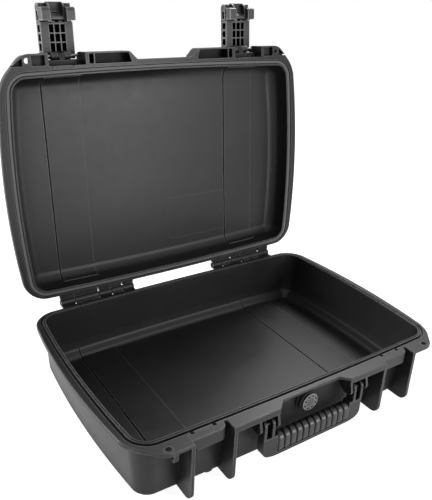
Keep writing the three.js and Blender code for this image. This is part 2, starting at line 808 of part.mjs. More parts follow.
function buildLatchBody(side) {
  const half = latch.width / 2;
  const outer = -latch.inset - latch.thickness;
  const profile = [
    [-latch.pivotY - latch.inset, latchPivotZ + barrel.radius - sink],
    [-latch.pivotY + outer, latchPivotZ + barrel.radius - sink, barrel.radius],
    [-latch.pivotY + outer, latchPivotZ - latch.length, barrel.radius],
    [-latch.pivotY + ear.recess, latchPivotZ - latch.length],
    [-latch.pivotY + ear.recess, latchPivotZ - ear.top + fit + sink],
    [-latch.pivotY - latch.inset, latchPivotZ - ear.top + fit + sink],
  ];
  const solids = [prism('x', profile, acrossOn(side, -half, half))];
  const cuts = [];
  const skinIn = outer + rail.skin;
  // The pockets of the lattice between the rails.
  const columns = [-rail.from, ...lattice.ribs, rail.from];
  for (let column = 0; column + 1 < columns.length; column += 1) {
    for (let row = 0; row + 1 < lattice.rows.length; row += 1) {
      const across = [columns[column] + lattice.ribWidth / 2, columns[column + 1] - lattice.ribWidth / 2];
      const down = [lattice.rows[row] + lattice.bar / 2, lattice.rows[row + 1] - lattice.bar / 2];
      cuts.push(latchBlock(side, across, [skinIn, overrun], down));
    }
  }
  // The openings in the outer faces of the rails.
  for (const hand of Object.values(sides)) {
    for (let row = 0; row + 1 < lattice.rows.length; row += 1) {
      const across = [hand * (half - rail.pocket), hand * (half + overrun)];
      const down = [lattice.rows[row] + lattice.bar, lattice.rows[row + 1] - lattice.bar];
      cuts.push(latchBlock(side, across, [skinIn + rail.outerWeb, -latch.inset - rail.web], down));
    }
    const barrelSpan = [hand * barrel.from, hand * barrel.to];
    solids.push(latchRod(side, barrelSpan, 0, 0, barrel.radius));
  }
  // Room for the release lever and for the lid's lug.
  const room = lever.half + fit;
  const lastRow = lattice.rows[lattice.rows.length - 1];
  const lugRoom = [-barrel.radius - overrun, barrel.radius + fit];
  const wide = half + overrun;
  cuts.push(
    latchBlock(side, [-room, room], [skinIn, overrun], [lastRow + lattice.bar, latch.length + overrun]),
    latchBlock(side, [-barrel.from, barrel.from], [-barrel.radius - fit, barrel.radius], lugRoom),
    latchRod(side, [-half, half], 0, 0, latchPin.radius + fit, steps.small),
    latchRod(side, [-wide, wide], lever.pinIn, lever.pin, lever.pinRadius + fit, steps.small),
  );
  const pinRoom = latchPin.radius + easyFit;
  for (const hand of Object.values(sides)) {
    const beside = [hand * barrel.to, hand * (half + overrun)];
    cuts.push(latchBlock(side, beside, [-pinRoom, overrun], [-barrel.radius - overrun, pinRoom]));
  }
  return cut(join(solids), cuts);
}

function buildLever(side) {
  const half = latch.width / 2;
  const { half: plateHalf, top, back, floor } = lever;
  const bottom = latch.length + sink;
  const innerHalf = plateHalf - lever.side;
  const scoop = [back + floor, ear.hook + overrun];
  const plate = cut(
    latchBlock(side, [-plateHalf, plateHalf], [back, ear.hook], [top, bottom]),
    latchBlock(side, [-innerHalf, innerHalf], scoop, [top + floor, bottom + overrun]),
  );
  const solids = [plate];
  for (const hand of Object.values(sides)) {
    const across = acrossOn(side, hand * (plateHalf - sink), hand * (half + ear.proud));
    const shape = [
      [-latch.pivotY + ear.back, latchPivotZ - ear.top],
      [-latch.pivotY + ear.tip, latchPivotZ - ear.top],
      [-latch.pivotY + ear.tip, latchPivotZ - ear.bottom, ear.shoulder],
      [-latch.pivotY + ear.back, latchPivotZ - ear.bottom],
    ];
    const hookSpan = [hand * (plateHalf - sink), hand * ear.hookEnd];
    const hookDown = [ear.top + sink, ear.top - ear.rise];
    const hook = latchBlock(side, hookSpan, [ear.tip - ear.hook, ear.tip], hookDown);
    solids.push(prism('x', shape, across), hook);
  }
  const pocket = latchBlock(
    side,
    [-coil.room, coil.room],
    [back - overrun, lever.pinIn + coil.room],
    [lever.pin - coil.room, lever.pin + coil.room],
  );
  const bore = latchRod(side, [-half, half], lever.pinIn, lever.pin, lever.pinRadius + fit, steps.small);
  return cut(join(solids), bore, pocket);
}

function buildLeverPin(side) {
  const half = latch.width / 2 - fit;
  return latchRod(side, [-half, half], lever.pinIn, lever.pin, lever.pinRadius, steps.small);
}

function buildLatchPin(side) {
  const reach = [bracket.inner - fin.thickness + sink, bracket.outer + fin.thickness - sink];
  return rod('x', spanOn(side, ...reach), [-latch.pivotY, latchPivotZ], latchPin.radius, steps.small);
}

// A point on the return spring's helix, which winds round the lever's pin.
function coilPoint(side, turn) {
  const angle = turn * turnAngle;
  return new THREE.Vector3(
    side * latch.centre + (turn - coil.turns / 2) * coil.pitch,
    -latch.pivotY + lever.pinIn + coil.radius * Math.cos(angle),
    latchPivotZ - lever.pin + coil.radius * Math.sin(angle),
  );
}

function buildSpring(side) {
  const rings = [];
  const count = coil.turns * coil.turnSteps;
  for (let index = 0; index <= count; index += 1) {
    const turn = index / coil.turnSteps;
    const centre = coilPoint(side, turn);
    const axis = new THREE.Vector3(0, -latch.pivotY + lever.pinIn, latchPivotZ - lever.pin);
    const outward = centre.clone().sub(axis).setX(0).normalize();
    const ring = [];
    for (let corner = 0; corner < coil.sides; corner += 1) {
      const angle = (corner / coil.sides) * turnAngle;
      const point = centre.clone().addScaledVector(outward, coil.wire / 2 * Math.cos(angle));
      point.x -= coil.wire / 2 * Math.sin(angle);
      ring.push(point);
    }
    rings.push(ring);
  }
  return tube(rings);
}

// A closed tube through rings of equally many points.
function tube(rings) {
  const count = rings[0].length;
  const last = (rings.length - 1) * count;
  const faces = [];
  for (let level = 0; level + 1 < rings.length; level += 1) {
    for (let index = 0; index < count; index += 1) {
      const near = level * count + index;
      const far = level * count + ((index + 1) % count);
      faces.push(near, far, far + count, near, far + count, near + count);
    }
  }
  for (let index = 1; index + 1 < count; index += 1) {
    faces.push(0, index + 1, index, last, last + index, last + index + 1);
  }
  const geometry = new THREE.BufferGeometry();
  const positions = rings.flat().flatMap((point) => [point.x, point.y, point.z]);
  geometry.setAttribute('position', new THREE.Float32BufferAttribute(positions, 3));
  geometry.setIndex(faces);
  return solidOf(geometry);
}

// The handle: forked arms on a bar, and a ribbed grip that is moulded over the bar's top.
const bar = { top: 20.6, lower: 9, gripHalf: arm.grip, skin: 2, slot: 8, corner: 13 };
const grip = { ribs: 12, gap: 2.2, gapDepth: 1.4, bulge: 1.6 };

function buildHandleFrame() {
  const { pivotY, armFront, armTop, armBottom, armDepth, half } = handle;
  const yFront = -armFront;
  const yBack = -armFront + armDepth;
  const armInner = half - prong.thickness * 2 - bar.slot;
  const outline = mirrored([
    [bar.gripHalf + fit, handleZ - bar.top],
    [bar.gripHalf + fit, handleZ - armTop],
    [half, handleZ - armTop],
    [half, handleZ - armBottom + prong.thickness, bar.corner],
    [armInner, handleZ - armBottom - sink, bar.slot],
    [bar.gripHalf - bar.slot, handleZ - armBottom - sink],
  ]);
  const barBody = prism('y', outline, [yFront, yBack]);
  const prongs = Object.values(sides).flatMap((side) => [armInner, half - prong.thickness].map((x) => {
    const shape = [
      [yFront, handleZ - armTop - sink],
      [yFront, handleZ + prong.radius, prong.radius],
      [-pivotY + prong.radius, handleZ + prong.radius, prong.radius],
      [-pivotY + prong.radius, handleZ - prong.radius, prong.radius],
      [yBack, handleZ - armTop - sink],
    ];
    return prism('x', shape, spanOn(side, x, x + prong.thickness));
  }));
  const bores = Object.values(sides).map((side) => handleBore(side, handlePin.radius + fit));
  return cut(join(barBody, prongs), bores, gripRecess());
}

// Under the grip the bar is a plain core, and the grip is a sleeve round it, open at the bottom.
const gripFront = -handle.armFront - grip.bulge;
const gripBack = -handle.armFront + handle.armDepth + grip.bulge;
const gripTop = handleZ - bar.top + grip.bulge;
const gripLow = handleZ - handle.armBottom + bar.lower;

function barCore(clearance) {
  const inset = grip.bulge + bar.skin + clearance;
  return block(
    [-bar.gripHalf - overrun, bar.gripHalf + overrun],
    [gripFront + inset, gripBack - inset],
    [gripLow - overrun, gripTop - inset],
  );
}

function gripRecess() {
  const half = bar.gripHalf + fit;
  const zone = block([-half, half], [gripFront - overrun, gripBack + overrun], [gripLow, gripTop + overrun]);
  return cut(zone, barCore(fit));
}

function gripProfile(inset, low) {
  return [
    [gripFront + inset, low],
    [gripFront + inset, gripTop - inset, bar.slot],
    [gripBack - inset, gripTop - inset, bar.slot],
    [gripBack - inset, low],
  ];
}

function gripGrooves() {
  const pitch = 2 * bar.gripHalf / grip.ribs;
  const grooves = [];
  for (let index = 1; index < grip.ribs; index += 1) {
    const x = -bar.gripHalf + index * pitch;
    const xSpan = [x - grip.gap / 2, x + grip.gap / 2];
    const ySpan = [gripFront - overrun, gripBack + overrun];
    const around = block(xSpan, ySpan, [gripLow - sink, gripTop + overrun]);
    const kept = prism('x', gripProfile(grip.gapDepth, gripLow - overrun), [x - grip.gap, x + grip.gap]);
    grooves.push(cut(around, kept));
  }
  return grooves;
}

function buildGrip() {
  const sleeve = prism('x', gripProfile(0, gripLow + fit), [-bar.gripHalf, bar.gripHalf]);
  return cut(sleeve, barCore(0), gripGrooves());
}

function buildHandlePin(side) {
  const reach = [tab.innerX + handlePin.inset, tab.outerX + tab.thickness - handlePin.inset];
  return rod('x', spanOn(side, ...reach), [-handle.pivotY, handleZ], handlePin.radius, steps.small);
}

// The pressure valve: a body through the wall, its cap, the membrane inside, a seal and a nut.
const valvePart = {
  seal: 1.5,
  flange: 3,
  bore: 5,
  hole: 1.1,
  holeCircle: 9,
  holes: 8,
  membrane: 1,
  nut: 5,
  nutSides: 6,
};

function buildValve() {
  const sealY = [valve.padFace + fit, valve.padFace + fit + valvePart.seal];
  const flangeY = [sealY[1] + fit, sealY[1] + fit + valvePart.flange];
  const capY = [flangeY[1] + fit, valve.front];
  const innerFace = cavity.depth / 2 + cavity.frontBow - base.lean;
  const nutY = [innerFace - valvePart.nut - fit, innerFace - fit];
  const shankEnd = nutY[0] - sink;
  const recess = flangeY[1] - valvePart.membrane - fit;
  const body = cut(
    join(
      shellRound(flangeY[0], flangeY[1], valve.flangeRadius),
      shellRound(shankEnd, flangeY[0] + sink, valve.shankRadius),
    ),
    shellRound(shankEnd - overrun, flangeY[1] + overrun, valvePart.bore),
    shellRound(recess, flangeY[1] + overrun, valve.shankRadius + fit),
  );
  const membrane = shellRound(recess + fit / 2, recess + fit / 2 + valvePart.membrane, valve.shankRadius);
  const ringSeal = cut(
    shellRound(sealY[0], sealY[1], valve.flangeRadius - sink),
    shellRound(sealY[0] - overrun, sealY[1] + overrun, valve.shankRadius + fit),
  );
  const nut = cut(
    shellRound(nutY[0], nutY[1], valve.radius, valvePart.nutSides),
    shellRound(nutY[0] - overrun, nutY[1] + overrun, valve.shankRadius + fit),
  );
  const holes = [];
  for (let index = 0; index < valvePart.holes; index += 1) {
    const angle = (index + middleShare) / valvePart.holes * turnAngle;
    const away = valvePart.holeCircle;
    const centre = [away * Math.cos(angle), valveZ + away * Math.sin(angle)];
    holes.push(rod('y', [-capY[0] + overrun, -capY[1] - overrun], centre, valvePart.hole, steps.tiny));
  }
  const cap = cut(shellRound(capY[0], capY[1], valve.radius, steps.round + steps.small), holes);
  return { body, membrane, ringSeal, nut, cap };
}

function buildFoot(sideX, sideY) {
  const height = foot.height - fit;
  const geometry = new THREE.CylinderGeometry(foot.radius, foot.radius - sink, height, steps.round);
  geometry.rotateX(quarter);
  geometry.translate(sideX * foot.x, sideY * foot.y, -fit - height / 2);
  return solidOf(geometry);
}

// Assembly.
function addPiece(parent, name, solid, finish) {
  const mesh = new THREE.Mesh(geometryOf(solid), new THREE.MeshStandardMaterial(finish));
  mesh.name = name;
  parent.add(mesh);
}

// A group whose contents keep their closed coordinates and turn about a line along X.
function turned(parent, y, z, angle) {
  const outer = new THREE.Group();
  outer.position.set(0, y, z);
  outer.rotation.x = angle;
  const inner = new THREE.Group();
  inner.position.set(0, -y, -z);
  outer.add(inner);
  parent.add(outer);
  return inner;
}

const laptopCase = new THREE.Group();
addPiece(laptopCase, 'base_shell', buildBase(), finishes.shell);
const openLid = turned(laptopCase, hinge.y, hingeZ, -hinge.opening * degree);
addPiece(openLid, 'lid_shell', buildLid(), finishes.shell);
addPiece(openLid, 'lid_gasket', buildGasket(), finishes.rubber);

for (const [name, side] of Object.entries(sides)) {
  addPiece(laptopCase, `hinge_pin_${name}`, buildHingePin(side), finishes.steel);
  addPiece(laptopCase, `handle_pin_${name}`, buildHandlePin(side), finishes.steel);
  addPiece(openLid, `${name}_latch_pin`, buildLatchPin(side), finishes.steel);
  const latchGroup = turned(openLid, -latch.pivotY, latchPivotZ, -latchSwing * degree);
  addPiece(latchGroup, `${name}_latch_body`, buildLatchBody(side), finishes.latch);
  addPiece(latchGroup, `${name}_release_lever`, buildLever(side), finishes.lever);
  addPiece(latchGroup, `${name}_lever_pin`, buildLeverPin(side), finishes.steel);
  addPiece(latchGroup, `${name}_lever_spring`, buildSpring(side), finishes.steel);
}

addPiece(laptopCase, 'handle_frame', buildHandleFrame(), finishes.shell);
addPiece(laptopCase, 'handle_grip', buildGrip(), finishes.grip);

const valveSolids = buildValve();
addPiece(laptopCase, 'valve_body', valveSolids.body, finishes.shell);
addPiece(laptopCase, 'valve_cap', valveSolids.cap, finishes.lever);
addPiece(laptopCase, 'valve_membrane', valveSolids.membrane, finishes.membrane);
addPiece(laptopCase, 'valve_seal', valveSolids.ringSeal, finishes.rubber);
addPiece(laptopCase, 'valve_nut', valveSolids.nut, finishes.shell);

const feet = {
  front_left_foot: [-1, -1],
  front_right_foot: [1, -1],
  back_left_foot: [-1, 1],
  back_right_foot: [1, 1],
};
for (const [name, [sideX, sideY]] of Object.entries(feet)) {
  addPiece(laptopCase, name, buildFoot(sideX, sideY), finishes.rubber);
}

export default laptopCase;
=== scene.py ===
import bmesh
import bpy
import math
from mathutils import Matrix, Vector


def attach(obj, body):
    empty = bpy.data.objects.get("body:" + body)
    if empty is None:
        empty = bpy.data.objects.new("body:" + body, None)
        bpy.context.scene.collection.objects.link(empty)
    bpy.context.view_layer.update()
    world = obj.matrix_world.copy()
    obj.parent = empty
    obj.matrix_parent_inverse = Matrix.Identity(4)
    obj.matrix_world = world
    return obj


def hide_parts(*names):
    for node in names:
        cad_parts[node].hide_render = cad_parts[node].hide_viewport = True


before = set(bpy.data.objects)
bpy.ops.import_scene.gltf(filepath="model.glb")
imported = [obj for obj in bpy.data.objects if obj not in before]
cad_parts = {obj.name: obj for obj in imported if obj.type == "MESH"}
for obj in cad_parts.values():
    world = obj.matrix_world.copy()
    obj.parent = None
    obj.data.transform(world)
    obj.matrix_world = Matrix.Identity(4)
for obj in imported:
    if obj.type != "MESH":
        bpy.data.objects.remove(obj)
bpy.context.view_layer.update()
mm = 0.001  # the sizes below are millimetres, the scene is metres
hands = (("left", -1), ("right", 1))

# the case seen from above: a rounded rectangle whose sides bow out
outline = dict(width=462, depth=307.2, sideBow=8.4, frontBow=4, corner=20, cornerSteps=18, sideSteps=24)
lipOutline = dict(sideReach=12, sideBow=12.5, backReach=8.7, corner=30)
baseSizes = dict(height=85.1, lean=5, wall=4, edge=8, beadStand=1, ridge=1.1, channel=1.2, grooveWidth=3.2,
                 grooveDepth=2.5, lipThick=7.5, lipEdge=1.5, skirt=7.3, step=64, foot=22, crown=81,
                 crownIn=0.7, inner=(30, 50), outer=(46, 30), room=(2, 9, 5),
                 floor=((-13.5, 0), (-10, 0, 4), (-7, 4.6, 1), (-6.2, 5.4, 0.8), (-0.8, 10.5, 6)))
lidSizes = dict(seam=84.5, ceiling=119.1, top=123.1, lean=4, edge=13, ceilingEdge=14, shift=3, skirt=7.3,
                sealFrom=-0.3, sealTo=5.2, sealTop=88.8, bend=96.5, room=(-1.5, 14, 1))
hingeSizes = dict(y=175.7, z=86, radius=5, pin=1.9, end=196.5, gap=1.1, web=160, opening=95.9, ledgeGap=5.9,
                  ledgeDepth=4.5, ledgeRise=3, heelRoom=4.2, sit=0.05, play=0.3)
latchSizes = dict(centre=151.25, bayHalf=26.25, y=-178, z=111.1, swing=90)
rimZ = baseSizes["height"]
lipTop = rimZ - baseSizes["beadStand"]


# making by hand, in a script
def clearSelection():
    if bpy.context.mode != "OBJECT":
        bpy.ops.object.mode_set(mode="OBJECT")
    bpy.ops.object.select_all(action="DESELECT")


def makeActive(piece):
    clearSelection()
    piece.select_set(True)
    bpy.context.view_layer.objects.active = piece


def applyModifier(piece, kind, **settings):
    makeActive(piece)
    modifier = piece.modifiers.new(kind.lower(), kind)
    for key, value in settings.items():
        setattr(modifier, key, value)
    bpy.ops.object.modifier_apply(modifier=modifier.name)


def roundEdges(piece, width=0.6, segments=3, angle=32):
    if width:
        applyModifier(piece, "BEVEL", width=width * mm, segments=segments, limit_method="ANGLE",
                      angle_limit=math.radians(angle), use_clamp_overlap=True, miter_outer="MITER_ARC")
    return piece


def combine(piece, operation, others):
    for other in others:
        applyModifier(piece, "BOOLEAN", operation=operation, solver="MANIFOLD", object=other)
        bpy.data.objects.remove(other)
    return piece


def unite(piece, *others):
    return combine(piece, "UNION", others)


def carve(piece, *tools):
    return combine(piece, "DIFFERENCE", tools)


def keepInside(piece, *rooms):
    return combine(piece, "INTERSECT", rooms)


def named(name):
    bpy.context.object.name = name
    return bpy.context.object


def spot(axis, along, u, v):  # a point from its place along an axis and across it
    return {"x": (along, u, v), "y": (u, along, v), "z": (u, v, along)}[axis]


def softCorners(points, steps=6, closed=True):  # a third value rounds the corner
    rounded = []
    for index, point in enumerate(points):
        corner = Vector(point[:2])
        soft = point[2] if len(point) > 2 else 0
        if not soft or (not closed and index in (0, len(points) - 1)):
            rounded.append(corner)
            continue
        arms = []
        for other in (points[index - 1], points[(index + 1) % len(points)]):
            arm = Vector(other[:2]) - corner
            shared = len(other) > 2 and other[2]
            soft = min(soft, arm.length * (0.49 if shared else 0.98))
            arms.append(arm.normalized())
        bisector = (arms[0] + arms[1]).normalized()
        halfAngle = math.acos(max(-1, min(1, arms[0].dot(bisector))))
        centre = corner + bisector * (soft / math.cos(halfAngle))
        first = corner + arms[0] * soft - centre
        last = corner + arms[1] * soft - centre
        sweep = math.atan2(first.x * last.y - first.y * last.x, first.dot(last))
        for step in range(steps + 1):
            turn = sweep * step / steps
            rounded.append(centre + Vector((first.x * math.cos(turn) - first.y * math.sin(turn),
                                            first.x * math.sin(turn) + first.y * math.cos(turn))))
    return rounded


def placeRing(piece, before, ring):  # moves the selected loop onto its new ring
    target = {tuple(Vector(old) * mm): Vector(new) * mm for old, new in zip(before, ring)}
    mesh = bmesh.from_edit_mesh(piece.data)
    for vertex in mesh.verts:
        if vertex.select:
            vertex.co = target[tuple(vertex.co)]
    bmesh.update_edit_mesh(piece.data)


def leaveEdit():
    bpy.ops.mesh.select_all(action="SELECT")
    bpy.ops.mesh.normals_make_consistent(inside=False)
    bpy.ops.object.mode_set(mode="OBJECT")


def sweepRings(name, rings, closedLoop=False):
    clearSelection()
    bpy.ops.mesh.primitive_circle_add(vertices=len(rings[0]), radius=10 * mm)
    piece = named(name)
    for vertex, point in zip(piece.data.vertices, rings[0]):
        vertex.co = Vector(point) * mm
    bpy.ops.object.mode_set(mode="EDIT")
    bpy.ops.mesh.select_mode(type="VERT")
    bpy.ops.mesh.select_all(action="SELECT")
    bpy.ops.mesh.select_mode(type="EDGE")
    for before, ring in zip(rings, rings[1:]):
        bpy.ops.mesh.extrude_edges_move()
        placeRing(piece, before, ring)
    bpy.ops.mesh.select_all(action="SELECT")
    if closedLoop:
        bpy.ops.mesh.remove_doubles(threshold=0.00001)
    else:
        bpy.ops.mesh.fill_holes(sides=0)
    leaveEdit()
    return piece


def plate(name, points, axis, span, edge=0.6, steps=6):  # an outline pushed out along an axis
    flat = softCorners(points, steps)
    low, high = min(span), max(span)
    clearSelection()
    bpy.ops.mesh.primitive_circle_add(vertices=len(flat), radius=10 * mm, fill_type="NGON")
    piece = named(name)
    for vertex, (u, v) in zip(piece.data.vertices, flat):
        vertex.co = Vector(spot(axis, low, u, v)) * mm
    bpy.ops.object.mode_set(mode="EDIT")
    bpy.ops.mesh.select_all(action="SELECT")
    bpy.ops.mesh.extrude_region_move(TRANSFORM_OT_translate={"value": spot(axis, (high - low) * mm, 0, 0)})
    leaveEdit()
    return roundEdges(piece, edge)


def block(name, xSpan, ySpan, zSpan, edge=0):
    spans = (xSpan, ySpan, zSpan)
    clearSelection()
    bpy.ops.mesh.primitive_cube_add(size=1, location=[sum(span) / 2 * mm for span in spans],
                                    scale=[abs(span[1] - span[0]) * mm for span in spans])
    bpy.ops.object.transform_apply()
    return roundEdges(named(name), edge)


def rod(name, axis, span, centre, radius, edge=0, around=40):
    tilt = {"x": (0, math.pi / 2, 0), "y": (math.pi / 2, 0, 0), "z": (0, 0, 0)}[axis]
    place = Vector(spot(axis, (span[0] + span[1]) / 2, *centre)) * mm
    clearSelection()
    bpy.ops.mesh.primitive_cylinder_add(vertices=around, radius=radius * mm, location=place, rotation=tilt,
                                        depth=abs(span[1] - span[0]) * mm)
    bpy.ops.object.transform_apply()
    return roundEdges(named(name), edge, 4, 50)


def lathe(name, axis, centre, profile, around=56, steps=5):  # (radius, along) points, corners rounded
    rings = []
    for radius, along in softCorners(profile, steps, closed=False):
        turns = [2 * math.pi * index / around for index in range(around)]
        rings.append([spot(axis, along, centre[0] + radius * math.cos(turn),
                           centre[1] + radius * math.sin(turn))
                      for turn in turns])
    return sweepRings(name, rings)


def turnAbout(piece, y, z, degrees):  # about a line along X, as the lid and latches open
    pivot = Matrix.Translation((0, y * mm, z * mm))
    piece.matrix_world = pivot @ Matrix.Rotation(math.radians(degrees), 4, "X") @ pivot.inverted()
    makeActive(piece)
    bpy.ops.object.transform_apply()
    return piece


def openLid(piece):
    return turnAbout(piece, hingeSizes["y"], hingeSizes["z"], -hingeSizes["opening"])


def finishPiece(piece, body, slotName, material, *nodes, smooth=35):
    makeActive(piece)
    bpy.ops.object.shade_smooth_by_angle(angle=math.radians(smooth))
    applyModifier(piece, "WEIGHTED_NORMAL", keep_sharp=True, weight=70)
    piece.data.materials.clear()
    piece.data.materials.append(material)
    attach(piece, body)
    if nodes:
        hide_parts(*nodes)
    return piece


# finishes
class Wire:  # a socket that can be reckoned with
    def __init__(self, finish, socket):
        self.finish = finish
        self.socket = socket

    def reckon(self, operation, first, second):
        return self.finish.node("ShaderNodeMath", dict(operation=operation), {0: first, 1: second})

    def __add__(self, other):
        return self.reckon("ADD", self, other)

    def __radd__(self, other):
        return self.reckon("ADD", other, self)

    def __sub__(self, other):
        return self.reckon("SUBTRACT", self, other)

    def __rsub__(self, other):
        return self.reckon("SUBTRACT", other, self)

    def __mul__(self, other):
        return self.reckon("MULTIPLY", self, other)

    def __rmul__(self, other):
        return self.reckon("MULTIPLY", other, self)


class Finish:
    def __init__(self, owner):
        self.owner = owner
        owner.use_nodes = True
        self.tree = owner.node_tree
        self.tree.nodes.clear()
        self.place = self.node("ShaderNodeTexCoord", output="Object")

    def node(self, kind, settings=None, inputs=None, output=0):
        made = self.tree.nodes.new(kind)
        for key, value in (settings or {}).items():
            if key == "stops":
                while len(made.color_ramp.elements) < len(value):
                    made.color_ramp.elements.new(0.5)
                for element, (position, level) in zip(made.color_ramp.elements, value):
                    element.position = position
                    element.color = (level, level, level, 1)
            else:
                setattr(made, key, value)
        for key, value in (inputs or {}).items():
            if isinstance(value, Wire):
                self.tree.links.new(value.socket, made.inputs[key])
            else:
                made.inputs[key].default_value = value
        return Wire(self, made.outputs[output])

    def noise(self, scale, detail=3, roughness=0.5, stretch=None):
        place = self.place
        if stretch:
            place = self.node("ShaderNodeMapping", {}, {"Vector": place, "Scale": stretch})
        return self.node("ShaderNodeTexNoise", {}, {"Vector": place, "Scale": scale, "Detail": detail,
                                                    "Roughness": roughness})

    def ramp(self, value, *stops):
        return self.node("ShaderNodeValToRGB", dict(stops=stops), {0: value})

    def blend(self, share, first, second):
        return self.node("ShaderNodeMix", dict(data_type="RGBA"), {0: share, 6: first, 7: second}, output=2)

    def seenRays(self):  # 1 where the camera looks, also in a reflection
        rays = self.node("ShaderNodeLightPath").socket.node.outputs
        seen = Wire(self, rays["Is Camera Ray"])
        for name in ("Is Glossy Ray", "Is Transmission Ray"):
            seen = self.node("ShaderNodeMath", dict(operation="MAXIMUM"),
                             {0: seen, 1: Wire(self, rays[name])})
        return seen

    def show(self, shader, kind="Material"):
        output = self.tree.nodes.new("ShaderNodeOutput" + kind)
        self.tree.links.new(shader.socket, output.inputs["Surface"])
        return self.owner

    def close(self, colour, roughness, bump, strength, distance, metallic=0.0, **fixed):
        bumped = self.node("ShaderNodeBump", {}, {"Strength": strength, "Distance": distance, "Height": bump})
        inputs = {"Base Color": colour, "Roughness": roughness, "Normal": bumped, "Metallic": metallic}
        inputs.update({key.replace("_", " "): value for key, value in fixed.items()})
        return self.show(self.node("ShaderNodeBsdfPrincipled", {}, inputs))


def edgeMask(finish, radius):  # 1 along edges, which the finishes lighten as wear, dust and painted highlight
    soft = finish.node("ShaderNodeBevel", dict(samples=4), {"Radius": radius * mm})
    plain = finish.node("ShaderNodeNewGeometry", output="Normal")
    facing = finish.node("ShaderNodeVectorMath", dict(operation="DOT_PRODUCT"), {0: soft, 1: plain},
                         output="Value")
    return finish.ramp(1 - facing, (0.006, 0), (0.07, 1))


def paintedCreviceShade(finish, reach):  # 1 in narrow gaps and pockets, where the colour gets painted shade
    daylight = finish.node("ShaderNodeAmbientOcclusion", dict(samples=6),
                           {"Distance": reach * mm}, output="AO")
    return finish.ramp(daylight, (0.3, 1), (0.92, 0))


def mouldedPlastic(name, dark, light, rough, grain=1400, depth=0.035, wearAndHighlight=0.8):
    finish = Finish(bpy.data.materials.new(name))
    cloud = finish.noise(9, 4, 0.6)
    speck = finish.noise(900, 2, 0.6)
    scuff = finish.noise(60, 5, 0.7, (1, 2.6, 1))
    shade = finish.ramp(cloud * 0.7 + speck * 0.3, (0.3, 0), (0.7, 1))
    body = finish.blend(shade, (*dark, 1), (*light, 1))
    # edges lighten partly as wear and partly as painted highlight, where rounded edges would catch the light
    wornAndHighlit = edgeMask(finish, 2.2) * finish.ramp(scuff, (0.3, 0.5), (0.6, 1)) * wearAndHighlight
    colour = finish.blend(wornAndHighlit, body, (*[0.07 + level * 5 for level in light], 1))
    # painted shade: the colour darkens to near black in gaps and pockets, where shade falls
    paintedShade = paintedCreviceShade(finish, 40)
    colour = finish.blend(paintedShade * 0.92, colour, (0.002, 0.002, 0.002, 1))
    roughness = rough + (cloud - 0.5) * 0.16 + (scuff - 0.5) * 0.14 - wornAndHighlit * 0.08 + paintedShade * 0.3
    pebble = finish.node("ShaderNodeTexVoronoi", dict(feature="SMOOTH_F1"),
                         {"Vector": finish.place, "Scale": grain, "Smoothness": 0.6})
    return finish.close(colour, roughness, pebble * 0.6 + speck * 0.4, 0.35, depth * mm,
                        Specular_IOR_Level=0.28)


def softRubber(name, dark, light, rough):
    finish = Finish(bpy.data.materials.new(name))
    cloud = finish.noise(30, 4, 0.6)
    fine = finish.noise(1500, 2, 0.6)
    colour = finish.blend(finish.ramp(cloud * 0.6 + fine * 0.4, (0.3, 0), (0.7, 1)), (*dark, 1), (*light, 1))
    dusty = edgeMask(finish, 0.5) * finish.ramp(cloud, (0.4, 0), (0.7, 1)) * 0.5
    colour = finish.blend(dusty, colour, (*[level * 2.5 for level in light], 1))
    # painted shade: near black in gaps and pockets
    colour = finish.blend(paintedCreviceShade(finish, 5) * 0.9, colour, (0.002, 0.002, 0.002, 1))
    return finish.close(colour, rough + (cloud - 0.5) * 0.2, fine + cloud * 0.4, 0.3, 0.05 * mm)


def drawnSteel(name, shade=1):
    finish = Finish(bpy.data.materials.new(name))
    streak = finish.noise(700, 3, 0.6, (0.05, 1, 1))
    cloud = finish.noise(45, 4, 0.6)
    dark, mid, light = [[level * shade] * 3 + [1] for level in (0.1, 0.13, 0.24)]
    colour = finish.blend(finish.ramp(streak, (0.3, 0), (0.7, 1)), mid, light)
    colour = finish.blend(finish.ramp(cloud, (0.55, 0), (0.75, 1)) * 0.5, colour, dark)
    roughness = 0.42 + (streak - 0.5) * 0.25 + (cloud - 0.5) * 0.2
    return finish.close(colour, roughness, streak, 0.15, 0.03 * mm, 1.0)


shellPlastic = mouldedPlastic("moulded_shell", (0.019, 0.019, 0.0195), (0.031, 0.031, 0.032), 0.36)
latchPlastic = mouldedPlastic("moulded_latch", (0.075, 0.075, 0.077), (0.115, 0.115, 0.118), 0.36,
                              1800, 0.03, 0.7)
leverPlastic = mouldedPlastic("moulded_lever", (0.08, 0.08, 0.082), (0.12, 0.12, 0.123), 0.34,
                              1800, 0.025, 0.8)
gripRubber = softRubber("grip_rubber", (0.018, 0.018, 0.0185), (0.032, 0.032, 0.033), 0.36)
sealRubber = softRubber("seal_rubber", (0.12, 0.12, 0.122), (0.17, 0.17, 0.173), 0.5)
footRubber = softRubber("foot_rubber", (0.004, 0.004, 0.004), (0.009, 0.009, 0.009), 0.85)
pinSteel = drawnSteel("pin_steel")
darkSteel = drawnSteel("blackened_steel", 0.2)
print("finishes ready")


